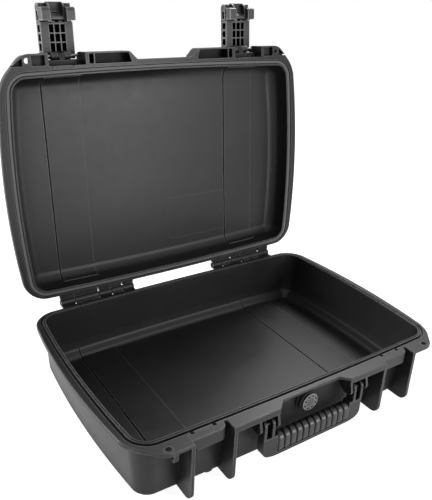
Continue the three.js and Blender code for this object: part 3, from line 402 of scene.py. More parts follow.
# the outline of the case, at a distance outside the cavity, and of the lip
def bowed(halfX, halfY, bowX, bowY, radius, z):
    points = []
    corners = [(1, 1), (-1, 1), (-1, -1), (1, -1)]
    for turn, (sx, sy) in enumerate(corners):
        arc = []
        for index in range(outline["cornerSteps"] + 1):
            angle = (turn + index / outline["cornerSteps"]) * math.pi / 2
            arc.append((sx * (halfX - radius) + radius * math.cos(angle),
                        sy * (halfY - radius) + radius * math.sin(angle)))
        nextX, nextY = corners[(turn + 1) % 4]
        end = arc[-1]
        target = (nextX * (halfX - radius), end[1]) if nextX != sx else (end[0], nextY * (halfY - radius))
        for index in range(1, outline["sideSteps"]):
            share = index / outline["sideSteps"]
            arc.append((end[0] + (target[0] - end[0]) * share, end[1] + (target[1] - end[1]) * share))
        points += arc
    return [(x + bowX * (x / halfX) * (1 - (y / halfY) ** 2),
             y + bowY * (y / halfY) * (1 - (x / halfX) ** 2), z)
            for x, y in points]


def caseRing(outset, z):
    return bowed(outline["width"] / 2 + outset, outline["depth"] / 2 + outset, outline["sideBow"],
                 outline["frontBow"], max(outline["corner"] + outset, 1), z)


def lipRing(inset, z):
    return bowed(outline["width"] / 2 + lipOutline["sideReach"] - inset,
                 outline["depth"] / 2 + lipOutline["backReach"] - inset, lipOutline["sideBow"],
                 outline["frontBow"], lipOutline["corner"] - inset, z)


def baseLean(z):
    return baseSizes["lean"] * (rimZ - z) / rimZ


def lidLean(z):
    return lidSizes["lean"] * (z - lidSizes["seam"]) / (lidSizes["top"] - lidSizes["seam"])


def caseRows(points, steps=5):
    return [caseRing(outset, z) for outset, z in softCorners(points, steps, closed=False)]


def quarterTurn(steps):
    return [index / steps * math.pi / 2 for index in range(steps + 1)]


def flatEnd(outset, lean, radius, flatZ, up, steps=9):  # rows round the edge of the floor or ceiling
    rows = []
    for turn in quarterTurn(steps):
        z = flatZ + up * radius * (1 - math.cos(turn))
        rows.append(caseRing(outset - lean(z) - radius * (1 - math.sin(turn)), z))
    return rows


def lipRows(faceZ, up):  # the rounded outer edge of a lip
    edge, thick = baseSizes["lipEdge"], baseSizes["lipThick"]
    near = [lipRing(edge * (1 - math.sin(turn)), faceZ + up * edge * (1 - math.cos(turn)))
            for turn in quarterTurn(5)]
    far = [lipRing(edge * (1 - math.cos(turn)), faceZ + up * (thick - edge * (1 - math.sin(turn))))
           for turn in quarterTurn(5)]
    return near + far


def floorRows():  # the foot of the cavity: a rounded step, then a second one up to the wall
    foot, top = baseSizes["wall"], baseSizes["wall"] + baseSizes["foot"]
    steps = [(outset - baseLean(foot), foot + up, *soft) for outset, up, *soft in baseSizes["floor"]]
    return caseRows([*steps, (-baseLean(top), top)], 6)


def baseTray():
    size = baseSizes
    groove = size["wall"] + size["grooveWidth"]
    low, high = size["step"], size["step"] + 1
    dip = rimZ - size["channel"]
    ridge, second = size["ridge"], size["wall"] - size["ridge"]
    rows = floorRows()
    rows += [caseRing(-baseLean(z), z) for z in size["inner"]]
    rows += caseRows([(-baseLean(low), low), (-baseLean(high) - 0.5, high), (-size["crownIn"], size["crown"]),
                      (0, rimZ, 0.45), (ridge, rimZ, 0.45), (ridge + 0.25, dip, 0.15),
                      (second - 0.25, dip, 0.15), (second, rimZ, 0.45),
                      (size["wall"], rimZ, 0.45), (size["wall"], lipTop - size["grooveDepth"], 0.6),
                      (groove, lipTop - size["grooveDepth"], 0.6), (groove, lipTop - 0.5)], 4)
    rows.append(caseRing(groove + 0.1, lipTop - 0.06))
    rows += lipRows(lipTop, -1)
    under = lipTop - size["lipThick"] - size["skirt"]
    rows += [caseRing(size["wall"] - baseLean(z), z) for z in (under, under - 3, *size["outer"])]
    rows += reversed(flatEnd(size["wall"], baseLean, size["edge"], 0, 1))
    return sweepRings("base_tray", rows)


def lidTray():
    size = lidSizes
    seam, shift = size["seam"], size["shift"]
    rows = flatEnd(-shift, lidLean, size["ceilingEdge"], size["ceiling"], -1)
    rows += caseRows([(-shift - 0.2, size["bend"]), (-shift, seam, 0.8), (size["sealFrom"], seam, 0.5),
                      (size["sealFrom"], size["sealTop"]), (size["sealTo"], size["sealTop"]),
                      (size["sealTo"], seam + 0.5)])
    rows.append(caseRing(size["sealTo"] + 0.15, seam + 0.06))
    rows += lipRows(seam, 1)
    high = seam + baseSizes["lipThick"] + size["skirt"]
    outset = baseSizes["wall"] - shift
    rows += [caseRing(outset - lidLean(z), z) for z in (high, high + 3)]
    rows += reversed(flatEnd(outset, lidLean, size["edge"], size["top"], -1))
    return sweepRings("lid_tray", rows)


def hollow(name, outset, lean, radius, flatZ, openZ):  # the room inside a tray, for cutting
    up = 1 if openZ > flatZ else -1
    rows = flatEnd(outset, lean, radius, flatZ, up, 5)
    rows.append(caseRing(outset - lean(openZ), openZ))
    return sweepRings(name, rows)


# the front of base and lid
frontSizes = dict(centre=170.5, bracket=182.5, start=150, lidBay=166, strike=176, centreEnd=46, slopeEnd=58,
                  inner=125, outer=177.5, chamfer=213, corner=240, cornerY=153, blendX=246.2, blendY=136,
                  plate=4.5, nose=9, noseWall=4, soft=10)
finSizes = dict(thick=5, bottom=0.3, radius=12, root=140, rootZ=1.5, rootTop=4, slopeTop=11, lidTop=35,
                lidRadius=9)
padlockSizes = dict(x=206.6, y=174, radius=3.7, wall=2.4, collar=6.2, drop=6, proud=0.25)
cornerSizes = dict(x=-199.4, y=-174.5, half=3, depth=9, drop=15, radius=4.4, hole=2.1, holeDrop=9.5)


def mirrored(points):
    return points + [(-point[0], *point[1:]) for point in reversed(points)]


def both(side, near, far):
    return sorted((side * near, side * far))


def frontShape():
    f = frontSizes
    return mirrored([(f["centreEnd"], -f["centre"], 3), (f["slopeEnd"], -f["bracket"], 3),
                     (f["inner"], -f["bracket"]), (f["inner"], -f["lidBay"]), (f["outer"], -f["lidBay"]),
                     (f["outer"], -f["bracket"]), (f["chamfer"], -f["bracket"], f["soft"]),
                     (f["corner"], -f["cornerY"], f["soft"]), (f["blendX"], -f["blendY"]),
                     (outline["width"] / 2 - 10, -f["blendY"])])


seamSizes = dict(near=125, far=182, raised=0.9, groove=1.2, width=1.6, edge=0.6, sunk=0.8, baseEdge=13,
                 baseRise=14, lidRise=15)


def panelBands(outset, lean, radius, flatZ, up, rise):  # the raised panels, and a groove at their left edge
    size = seamSizes
    zSpan = sorted((flatZ - up * 4, flatZ + up * rise))

    def roomBetween(name, proud, near, far):
        return keepInside(hollow(name, outset + proud, lean, radius + proud, flatZ - up * proud,
                                 flatZ + up * (rise + 6)),
                          block("slab", sorted((near, far)), (-180, 180), zSpan))

    bands, grooves = [], []
    for side in (-1, 1):
        near, far, lift = size["near"], size["far"] - size["width"], size["raised"]
        band = roomBetween("band", size["sunk"], side * near, side * far)
        carve(band, hollow("inner", outset - lift, lean, radius - lift, flatZ + up * lift,
                           flatZ + up * (rise + 12)))
        bands.append(roundEdges(band, size["edge"], 3, 50))
        left = near - size["width"] if side > 0 else far
        grooves.append(roomBetween("groove", size["groove"], side * left, side * (left + size["width"])))
    return bands, grooves


def finPlate(side, nearX):
    f, s = finSizes, frontSizes
    shape = [(-s["start"], lipTop - 1), (-s["bracket"], lipTop - 1),
             (-s["bracket"], f["bottom"], f["radius"]), (-s["start"], f["bottom"], 2),
             (-f["root"], f["rootZ"]), (-f["root"], f["rootTop"]),
             (-s["start"], f["slopeTop"])]
    return plate("fin", shape, "x", both(side, nearX, nearX + f["thick"]), 0.7, 10)


strikeSizes = dict(end=21.25, thick=4.5, reach=18.8, radius=9, drop=0.5, holeIn=4.6, holeUp=2.6, hole=1.5)


def strikeOutline(side, inset, back):  # from the bay's left fin to a free end at its right
    s = strikeSizes
    middle = side * latchSizes["centre"]
    left, right = middle - latchSizes["bayHalf"] - 1, middle + s["end"] - inset
    y = -frontSizes["strike"] + inset
    return [(left, -back), (left, y), (right, y, s["radius"] - inset), (right, -back)]


def strikePlate(side):
    s = strikeSizes
    low, back = rimZ - s["reach"], frontSizes["start"]
    holeX = side * latchSizes["centre"] - latchSizes["bayHalf"] + s["holeIn"]
    piece = plate("strike", strikeOutline(side, 0, back), "z", (low, lipTop - s["drop"]), 1, 10)
    return carve(piece, plate("under", strikeOutline(side, s["thick"], back - 2), "z",
                              (low - 2, lipTop - frontSizes["plate"]), 0, 10),
                 rod("hole", "y", (-frontSizes["strike"] - 2, -frontSizes["strike"] + s["thick"] + 2),
                     (holeX, low + s["holeUp"]), s["hole"], 0, 20))


def cornerLug():  # hangs under the left corner, and only there
    c = cornerSizes
    near, far = c["y"] - c["depth"] / 2, c["y"] + c["depth"] / 2
    low = lipTop - frontSizes["plate"] - c["drop"]
    shape = [(near, lipTop - 1), (near, low, c["radius"]), (far, low, c["radius"]), (far, lipTop - 1)]
    piece = plate("corner_lug", shape, "x", (c["x"] - c["half"], c["x"] + c["half"]), 0.7, 8)
    centre = (c["y"], lipTop - frontSizes["plate"] - c["holeDrop"])
    return carve(piece,
                 rod("hole", "x", (c["x"] - c["half"] - 2, c["x"] + c["half"] + 2), centre, c["hole"], 0, 24))


tabSizes = dict(radius=7.5, thick=3.5, inner=58.5, outer=85.5, root=156, pivotY=177, pivotZ=63.1)
tabBore = dict(near=56, far=91, radius=2.5, pin=2.2, pinEdge=0.5)


def handleTab(side, x):
    t = tabSizes
    y, z = -t["pivotY"], t["pivotZ"]
    front = -frontSizes["bracket"] + 1
    shape = [(-t["root"], lipTop - 1), (front, lipTop - 1), (front, lipTop - frontSizes["nose"]),
             (y - t["radius"], z), (y - t["radius"], z - t["radius"], t["radius"]),
             (y + t["radius"], z - t["radius"], t["radius"]), (-t["root"], z + t["radius"])]
    return plate("tab", shape, "x", both(side, x, x + t["thick"]), 0.6, 10)


def pivotBore(side):
    bore = tabBore
    return rod("bore", "x", both(side, bore["near"], bore["far"]), (-tabSizes["pivotY"], tabSizes["pivotZ"]),
               bore["radius"], 0, 32)


knuckleWidths = [22.5, 39.5, 20.5, 19.5, 19.5]
heelSizes = dict(half=2, slope=8, top=4, depth=8.6, width=12, inset=3.5)


def hingeLedges(side, span, long, owner):  # they close the gaps in front of the other part's knuckles
    h, e = hingeSizes, heelSizes
    outer, inner = span
    heels = [outer - e["inset"], inner + e["inset"] + e["width"]]
    ends = [(outer, heels[0] + 0.1), (heels[0] - e["width"] - 0.1, heels[1] + 0.1),
            (inner + e["inset"] - 0.1, inner)]
    zSpan = (lipTop - h["ledgeDepth"], lipTop - h["sit"])
    if owner == "lid":
        zSpan = (lidSizes["seam"] + h["sit"], h["z"] + h["ledgeRise"])
    ledges = [block("ledge", both(side, *reach), (h["web"], h["y"] - h["ledgeGap"]), zSpan, 0.5)
              for reach in (ends if long else [span])]
    if long:
        ledges.append(block("ledge", both(side, *span),
                            (h["web"], h["y"] - h["ledgeGap"] - h["heelRoom"]), zSpan, 0.5))
    return ledges


def hingeHeels(side, span):
    h, e = hingeSizes, heelSizes
    shape = [(h["y"] - e["half"], h["z"]), (h["y"] + e["half"], h["z"] - e["depth"]),
             (h["y"] + e["slope"], h["z"] - e["depth"]), (h["y"] + e["top"], h["z"])]
    outer, inner = span
    return [plate("heel", shape, "x", both(side, start, start + e["width"]), 0.5)
            for start in (outer - e["inset"] - e["width"], inner + e["inset"])]


def hingeKnuckles(side, wanted):  # every second one belongs to the base
    h = hingeSizes
    solids = []
    end = h["end"]
    webZ = (h["z"] - h["radius"], lipTop - 0.1) if wanted == "base" else (h["z"] + 0.4, h["z"] + h["radius"])
    for index, width in enumerate(knuckleWidths):
        span = (end - h["gap"] / 2, end - width + h["gap"] / 2)
        end -= width
        if (index % 2 == 0) != (wanted == "base"):
            solids += hingeLedges(side, span, index == 1, wanted)
            continue
        solids.append(rod("barrel", "x", both(side, *span), (h["y"], h["z"]), h["radius"], 0.5, 48))
        solids.append(block("web", both(side, *span), (h["web"], h["y"]), webZ, 0.5))
        if index == 1:
            solids += hingeHeels(side, span)
    return solids


def hingeBore(side):
    h = hingeSizes
    return rod("bore", "x", both(side, h["end"] + 2, h["end"] - sum(knuckleWidths) - 2), (h["y"], h["z"]),
               h["pin"] + h["play"], 0, 32)


valveSizes = dict(z=62.1, pad=16, padFace=163.5, root=154, seat=15.1, front=171.5, hole=8.3)
notchSizes = dict(reaches=(-20, 9.5), width=5, near=161.6, depth=5.2, height=3.5)
footSizes = dict(x=137, y=145, radius=6.8, height=3, boss=8.5, bossHeight=10, sole=1, dimple=3,
                 dimpleDepth=0.8, sunk=0.3)


def rimNotches(side):
    n = notchSizes
    places = [side * latchSizes["centre"] + reach for reach in n["reaches"]]
    return [block("notch", (x - n["width"] / 2, x + n["width"] / 2), (-n["near"] - n["depth"], -n["near"]),
                  (lipTop - n["height"], lipTop + 2), 0.3) for x in places]


def buildBase():
    f, p, v, t = frontSizes, padlockSizes, valveSizes, footSizes
    shelf = plate("shelf", frontShape(), "z", (lipTop - f["plate"], lipTop), 1.1)
    parts = [rod("pad", "y", (-v["padFace"], -v["root"]), (0, v["z"]), v["pad"], 0.8, 64), cornerLug()]
    for side in (-1, 1):
        noseY, noseZ = (-f["bracket"], -f["bracket"] + f["noseWall"]), (lipTop - f["nose"], lipTop - 0.9)
        parts.append(block("nose", both(side, f["slopeEnd"], f["inner"]), noseY, noseZ, 0.7))
        parts += [finPlate(side, f["inner"] - finSizes["thick"] + 0.2), finPlate(side, f["outer"] - 0.2),
                  strikePlate(side)]
        parts.append(rod("collar", "z", (lipTop - p["drop"], lipTop + p["proud"]), (side * p["x"], -p["y"]),
                         p["collar"], 0.4, 40))
        parts += [rod("boss", "z", (0, t["bossHeight"]), (side * t["x"], way * t["y"]), t["boss"], 0.8, 40)
                  for way in (-1, 1)]
        parts += [handleTab(side, tabSizes[key]) for key in ("inner", "outer")]
        parts += hingeKnuckles(side, "base")
    unite(shelf, *parts)
    clearTo = baseSizes["wall"] + baseSizes["grooveWidth"] + 0.1
    outset, edge, floor = baseSizes["room"]
    carve(shelf, hollow("room", outset, baseLean, edge, floor, rimZ + 4),
          sweepRings("clearRim", [caseRing(clearTo, z) for z in (74, rimZ + 4)]))
    tray = unite(baseTray(), shelf)
    for side in (-1, 1):
        carve(tray, hingeBore(side), pivotBore(side),
              rod("eye", "z", (60, 110), (side * p["x"], -p["y"]), p["radius"], 0, 40), *rimNotches(side))
    bands, grooves = panelBands(0, baseLean, seamSizes["baseEdge"], baseSizes["wall"], 1,
                                seamSizes["baseRise"])
    carve(unite(tray, *bands), rod("shank", "y", (-v["front"], -140), (0, v["z"]), v["hole"], 0, 48),
          rod("seat", "y", (-v["front"], -v["padFace"]), (0, v["z"]), v["seat"], 0, 64), *grooves)
    return finishPiece(tray, "base", "shell", shellPlastic, "base_shell")


bracketSizes = dict(height=20, cornerHeight=10, eyePlate=4, eyeSide=0.6, wall=1.9, roof=3, back=167, ribX=113,
                    rib=1.6, slopeInset=9, slopeWall=1.5, cornerInset=12)
lugSizes = dict(half=3.9, radius=5.2, root=10.4)
bayWebSizes = dict(front=172.7, back=152, low=16, high=35, overlap=1)
tongueSizes = dict(half=2, front=166, back=162.4, below=1, above=3, edge=0.35)
latchBore = dict(radius=2.3, past=6.5)


def lidPockets(side):
    b, f, p = bracketSizes, frontSizes, padlockSizes
    seam = lidSizes["seam"]
    face = -f["bracket"] + b["wall"]
    rib = f["inner"] - finSizes["thick"]
    eye = p["radius"] + p["wall"]
    shapes = [
        [(b["slopeInset"] + f["centreEnd"], -b["back"], 1.5), (f["slopeEnd"] + b["slopeWall"], face, 1.5),
         (b["ribX"] - b["rib"], face, 1.5), (b["ribX"] - b["rib"], -b["back"], 1.5)],
        [(b["ribX"], -b["back"], 1.5), (b["ribX"], face, 1.5), (rib, face, 2.5), (rib, -b["back"], 2.5)],
        [(f["outer"] + b["wall"], -b["back"], 1.5), (f["outer"] + b["wall"], face, 1.5),
         (p["x"] - eye, face, 1.5), (p["x"] - eye, -b["back"], 1.5)],
        [(p["x"] + eye, face + b["roof"], 1), (p["x"] + eye, -b["back"], 1),
         (f["corner"] - b["cornerInset"], -b["back"], 1)],
    ]
    heights = [b["height"], b["height"], b["cornerHeight"], b["cornerHeight"]]
    pockets = [plate("pocket", [(side * u, w, soft) for u, w, soft in shape], "z",
                     (seam - 2, seam + height - b["roof"]), 0)
               for shape, height in zip(shapes, heights)]
    room = p["radius"] + b["eyeSide"]
    behindEye = block("behind_eye", both(side, p["x"] - room, p["x"] + room), (-f["bracket"] - 2, -b["back"]),
                      (seam + b["eyePlate"], seam + b["cornerHeight"] + 2))
    return [*pockets, behindEye]


def lidFin(side, nearX):
    f, s = finSizes, frontSizes
    top = lidSizes["seam"] + f["lidTop"]
    shape = [(-s["start"], lidSizes["seam"] + 0.1), (-s["bracket"], lidSizes["seam"] + 0.1),
             (-s["bracket"], top, f["lidRadius"]), (-s["start"] + f["lidRadius"], top)]
    return plate("lid_fin", shape, "x", both(side, nearX, nearX + f["thick"]), 0.7, 10)


def latchLug(side):
    g, s = lugSizes, latchSizes
    y, z = s["y"], s["z"]
    shape = [(-frontSizes["start"], z - g["root"]), (y - g["radius"], z - g["radius"], g["radius"]),
             (y - g["radius"], z + g["radius"], g["radius"]), (y + g["radius"], z + g["radius"]),
             (-frontSizes["start"], z + g["radius"])]
    middle = side * s["centre"]
    return plate("latch_lug", shape, "x", (middle - g["half"], middle + g["half"]), 0.5, 8)


# the faint empty field that the photo shows
blankSizes = dict(x=(12, 126.5), y=(53.5, 124), soft=8, raised=0.35)


def blankField():
    size = blankSizes
    (left, right), (front, back) = size["x"], size["y"]
    shape = [(x, y, size["soft"]) for x, y in ((left, front), (right, front), (right, back), (left, back))]
    ceiling = lidSizes["ceiling"]
    return plate("blank_field", shape, "z", (ceiling - size["raised"], ceiling + 1), size["raised"] * 0.8, 8)


def buildLid():
    f, b, p, s = frontSizes, bracketSizes, padlockSizes, latchSizes
    w, t, past = bayWebSizes, tongueSizes, latchBore["past"]
    seam = lidSizes["seam"]
    shelf = plate("lid_shelf", frontShape(), "z", (seam, seam + baseSizes["lipThick"]), 0)
    for side in (-1, 1):
        inner = [(f["centreEnd"], -f["centre"], 3), (f["slopeEnd"], -f["bracket"], 3),
                 (f["inner"], -f["bracket"]), (f["inner"], -f["start"]), (f["centreEnd"], -f["start"])]
        reach = outline["width"] / 2 - lidSizes["edge"]
        corner = [(f["outer"], -f["bracket"]), (f["chamfer"], -f["bracket"], f["soft"]),
                  (f["corner"], -f["cornerY"], f["soft"]), (f["blendX"], -f["blendY"]),
                  (reach, -f["blendY"]), (reach, -f["start"]), (f["outer"], -f["start"])]
        for shape, height in ((inner, b["height"]), (corner, b["cornerHeight"])):
            unite(shelf, plate("bracket", [(side * q[0], *q[1:]) for q in shape], "z",
                               (seam, seam + height), 0))
        carve(shelf, *lidPockets(side),
              rod("eye", "z", (0, 130), (side * p["x"], -p["y"]), p["radius"], 0, 40))
    roundEdges(shelf, 0.7, 3, 40)
    for side in (-1, 1):
        unite(shelf, lidFin(side, f["inner"] - finSizes["thick"]), lidFin(side, f["outer"]), latchLug(side),
              block("web", both(side, f["inner"] - w["overlap"], f["outer"] + w["overlap"]),
                    (-w["front"], -w["back"]), (seam + w["low"], seam + w["high"]), 0.3),
              *hingeKnuckles(side, "lid"))
        for reach in notchSizes["reaches"]:
            x = side * s["centre"] + reach
            unite(shelf, block("tongue", (x - t["half"], x + t["half"]), (-t["front"], -t["back"]),
                               (seam - t["below"], seam + t["above"]), t["edge"]))
    outset, edge, above = lidSizes["room"]
    carve(shelf, hollow("room", outset, lidLean, edge, lidSizes["ceiling"] + above, seam - 4),
          sweepRings("clearGroove",
                     [caseRing(lidSizes["sealTo"] + 0.15, z) for z in (seam - 4, lidSizes["sealTop"] + 1)]))
    tray = unite(lidTray(), shelf)
    for side in (-1, 1):
        carve(tray, hingeBore(side), rod("bore", "x", both(side, f["inner"] - past, f["outer"] + past),
                                         (s["y"], s["z"]), latchBore["radius"], 0, 32))
    bands, grooves = panelBands(-lidSizes["shift"], lidLean, lidSizes["ceilingEdge"], lidSizes["ceiling"], -1,
                                seamSizes["lidRise"])
    carve(unite(tray, *bands, blankField()), *grooves)
    openLid(tray)
    return finishPiece(tray, "lid", "shell", shellPlastic, "lid_shell")


gasketSizes = dict(low=0.4, high=3.4, play=0.15, lowSoft=1.2, highSoft=0.5)


def buildGasket():
    g = gasketSizes
    a, b = lidSizes["sealFrom"] + g["play"], lidSizes["sealTo"] - g["play"]
    low, high = (rimZ + g["low"], g["lowSoft"]), (rimZ + g["high"], g["highSoft"])
    rounded = softCorners([(a, *low), (b, *low), (b, *high), (a, *high)], 5)
    rings = [caseRing(outset, z) for outset, z in rounded + rounded[:1]]
    return finishPiece(openLid(sweepRings("gasket", rings, True)), "lid", "rubber", sealRubber, "lid_gasket")


buildBase()
print("base ready")
buildLid()
buildGasket()
print("lid ready")


# latches: across is measured from a latch's middle, inward and down from its pin
frameSizes = dict(half=23, face=-18, inset=-2, recess=-6, top=4.5, length=68, corner=5.5, earTop=44.1, skin=3,
                  columns=(-12, -4.2, 4.2, 12), rows=(5, 17.5, 29.5, 41.5), rib=1.4, slotIn=9,
                  slotNear=-13.75, slotFar=-4.5, lastSlot=(46, 58), lastFar=-8.5, barrelFrom=4.4, barrelTo=14,
                  barrel=5.5, room=11.6, roomTop=42.9, pinRoom=2.6)
leverSizes = dict(half=11.3, top=47, bottom=69.6, back=-11.5, side=2.2, pinIn=-8, pinDown=52, pin=2, room=4.5,
                  earNear=11, earFar=23.5, earTop=45.4, earBottom=62.8, earBack=-3, earTip=10, hook=2.4,
                  rise=1.2, hookEnd=15.2, lip=2.4, scoop=((2.4, 51, 1.4), (-6.6, 56.5, 5), (-8.2, 66)),
                  scoopToe=-6.8, wallTurn=65, wallToe=-5, roomFront=-13.5, bore=24)


def latchPlace(points):  # (in, down) measures become (y, z) of the closed case
    return [(latchSizes["y"] + point[0], latchSizes["z"] - point[1], *point[2:]) for point in points]


def latchSpan(side, near, far):
    return side * latchSizes["centre"] + near, side * latchSizes["centre"] + far


def releaseLever(side):
    v = leverSizes
    scoop = [(v["back"], v["top"]), (v["lip"], v["top"], 0.9), *v["scoop"], (v["scoopToe"], v["bottom"], 0.8),
             (v["back"], v["bottom"], 1)]
    lever = plate("lever", latchPlace(scoop), "x", latchSpan(side, -v["half"], v["half"]), 0.5, 8)
    wallShape = [(v["back"], v["top"]), (v["lip"], v["top"], 0.9), (v["lip"], v["wallTurn"], 4),
                 (v["wallToe"], v["bottom"], 2), (v["back"], v["bottom"], 1)]
    ear = [(v["earBack"], v["earTop"]), (v["earTip"], v["earTop"], 0.8), (v["earTip"], v["earBottom"], 5),
           (v["earBack"], v["earBottom"], 1)]
    hook = [(v["earTip"] - v["hook"], v["earTop"] + 1),
            (v["earTip"] - v["hook"], v["earTop"] - v["rise"], 0.4),
            (v["earTip"], v["earTop"] - v["rise"], 0.6), (v["earTip"], v["earTop"] + 1)]
    for hand in (-1, 1):
        wallSpan = latchSpan(side, hand * v["half"], hand * (v["half"] - v["side"]))
        earSpan = latchSpan(side, hand * v["earNear"], hand * v["earFar"])
        unite(lever, plate("wall", latchPlace(wallShape), "x", wallSpan, 0.5),
              plate("ear", latchPlace(ear), "x", earSpan, 0.8), plate("hook", latchPlace(hook), "x",
                    latchSpan(side, hand * v["earNear"], hand * v["hookEnd"]), 0))
    y, z = latchSizes["y"], latchSizes["z"]
    carve(lever, block("spring_room", latchSpan(side, -v["room"], v["room"]),
                       (y + v["roomFront"], y + v["pinIn"] + v["room"]),
                       (z - v["pinDown"] - v["room"], z - v["pinDown"] + v["room"])),
          rod("bore", "x", latchSpan(side, -v["bore"], v["bore"]), (y + v["pinIn"], z - v["pinDown"]),
              v["pin"], 0, 24))
    return openLid(turnAbout(lever, y, z, -latchSizes["swing"]))


def latchBlock(side, across, inward, down, edge=0.0):
    y, z = latchSizes["y"], latchSizes["z"]
    return block("latch_block", latchSpan(side, *across), (y + inward[0], y + inward[1]),
                 (z - down[1], z - down[0]), edge)


knobSizes = dict(near=2.6, far=8, inward=-2.6, down=44.3, radius=2.3, edge=1)


def latchKnob(side, hand):  # the rounded end of an upright rib
    k = knobSizes
    return rod("knob", "x", latchSpan(side, *both(hand, k["near"], k["far"])),
               (latchSizes["y"] + k["inward"], latchSizes["z"] - k["down"]), k["radius"], k["edge"], 28)


def latchFrame(side):
    f, s, v = frameSizes, latchSizes, leverSizes
    profile = [(f["inset"], -f["top"]), (f["face"], -f["top"], f["corner"]),
               (f["face"], f["length"], f["corner"]), (f["recess"], f["length"]),
               (f["recess"], f["earTop"]), (f["inset"], f["earTop"])]
    body = plate("latch_frame", latchPlace(profile), "x", latchSpan(side, -f["half"], f["half"]), 0.7, 8)
    cuts = []
    for left, right in zip(f["columns"], f["columns"][1:]):
        for upper, lower in zip(f["rows"], f["rows"][1:]):
            cuts.append(latchBlock(side, (left + f["rib"] / 2, right - f["rib"] / 2),
                                   (f["face"] + f["skin"], 2),
                                   (upper + f["rib"] / 2, lower - f["rib"] / 2), 0.5))
    slots = [(upper + f["rib"], lower - f["rib"], f["slotFar"])
             for upper, lower in zip(f["rows"], f["rows"][1:])]
    slots.append((*f["lastSlot"], f["lastFar"]))
    for hand in (-1, 1):
        across = both(hand, f["half"] - f["slotIn"], f["half"] + 2)
        cuts += [latchBlock(side, across, (f["slotNear"], far), (upper, lower), 0.5)
                 for upper, lower, far in slots]
        unite(body, rod("barrel", "x", latchSpan(side, hand * f["barrelFrom"], hand * f["barrelTo"]),
                        (s["y"], s["z"]), f["barrel"], 0.6, 44))
        cuts.append(latchBlock(side, both(hand, f["barrelTo"], f["half"] + 2), (-f["pinRoom"], 2),
                               (-f["barrel"] - 2, f["pinRoom"])))
    cuts += [latchBlock(side, (-f["room"], f["room"]), (f["face"] + f["skin"], 2),
                        (f["roomTop"], f["length"] + 2)),
             latchBlock(side, (-f["barrelFrom"], f["barrelFrom"]), (-f["barrel"] - 0.3, f["barrel"]),
                        (-f["barrel"] - 2, f["barrel"] + 0.3)),
             rod("bore", "x", latchSpan(side, -f["half"] - 1, f["half"] + 1), (s["y"], s["z"]),
                 latchBore["radius"], 0, 32),
             rod("bore", "x", latchSpan(side, -f["half"] - 2, f["half"] + 2),
                 (s["y"] + v["pinIn"], s["z"] - v["pinDown"]), v["pin"], 0, 24)]
    carve(body, *cuts)
    unite(body, latchKnob(side, -1), latchKnob(side, 1))
    return openLid(turnAbout(body, s["y"], s["z"], -s["swing"]))


def buildLatches():
    for name, side in hands:
        body = latchFrame(side)
        body.name = f"{name}_latch_frame"
        finishPiece(body, f"{name}_latch", "latch", latchPlastic, f"{name}_latch_body")
        lever = releaseLever(side)
        lever.name = f"{name}_lever_dressed"
        finishPiece(lever, f"{name}_lever", "lever", leverPlastic, f"{name}_release_lever")


buildLatches()
print("latches ready")


# handle: a forked frame and a ribbed grip moulded over its bar
handleSizes = dict(y=-177, z=63.1, front=184, top=18, bottom=48.6, depth=13, half=81.4, prong=4,
                   prongRadius=7, slot=8, barTop=20.6, barLower=4.5, gripHalf=59, corner=13, gap=0.3,
                   step=3.5)
gripSizes = dict(ribs=12, groove=2.6, bulge=1.6, soft=8, under=5, steps=14, square=4.5, ribFrom=0.03,
                 ribLong=0.94, coreSide=3, coreInto=2)


def buildHandle():
    h, g = handleSizes, gripSizes
    z, front, back = h["z"], -h["front"], -h["front"] + h["depth"]
    armInner = h["half"] - h["prong"] * 2 - h["slot"]
    shape = mirrored([(h["gripHalf"] + h["gap"], z - h["top"] - h["step"]),
                      (h["gripHalf"] + h["gap"], z - h["top"], 2),
                      (h["half"], z - h["top"]), (h["half"], z - h["bottom"] + h["prong"], h["corner"]),
                      (armInner, z - h["bottom"] - 1, h["slot"]),
                      (h["gripHalf"] - h["slot"], z - h["bottom"] - 1)])
    bar = plate("handle_bar", shape, "y", (front, back), 1.3, 8)
    low = z - h["bottom"] + h["barLower"]
    top = z - h["barTop"] + g["bulge"]
    room = block("room", (-h["gripHalf"] - h["gap"], h["gripHalf"] + h["gap"]), (front - 4, back + 4),
                 (low, top + 4))
    core = block("core", (-h["gripHalf"] - g["coreInto"], h["gripHalf"] + g["coreInto"]),
                 (front + g["coreSide"], back - g["coreSide"]), (low - g["coreInto"], top - 4))
    carve(bar, room)
    unite(bar, core)
    for side in (-1, 1):
        for x in (armInner, h["half"] - h["prong"]):
            r = h["prongRadius"]
            prong = [(front, z - h["top"] - 1), (front, z + r, r), (h["y"] + r, z + r, r),
                     (h["y"] + r, z - r, r), (back, z - h["top"] - 1)]
            unite(bar, plate("prong", prong, "x", both(side, x, x + h["prong"]), 0.9, 10))
        carve(bar, pivotBore(side))
    finishPiece(bar, "handle", "shell", shellPlastic, "handle_frame")

    gripFront, gripBack = front - g["bulge"], back + g["bulge"]
    rings = []
    pitch = 2 * h["gripHalf"] / g["ribs"]
    for rib in range(g["ribs"]):
        for step in range(g["steps"] + 1):
            share = step / g["steps"]
            x = -h["gripHalf"] + (rib + g["ribFrom"] + share * g["ribLong"]) * pitch
            inset = g["groove"] * (1 - math.sqrt(max(0, 1 - abs(2 * share - 1) ** g["square"])))
            section = [(gripFront + inset, low + h["gap"], g["under"]),
                       (gripFront + inset, top - inset, g["soft"]),
                       (gripBack - inset, top - inset, g["soft"]),
                       (gripBack - inset, low + h["gap"], g["under"])]
            rings.append([(x, y, up) for y, up in softCorners(section, 8)])
    finishPiece(sweepRings("ribbed_grip", rings), "handle", "grip", gripRubber, "handle_grip", smooth=50)


buildHandle()
print("handle ready")


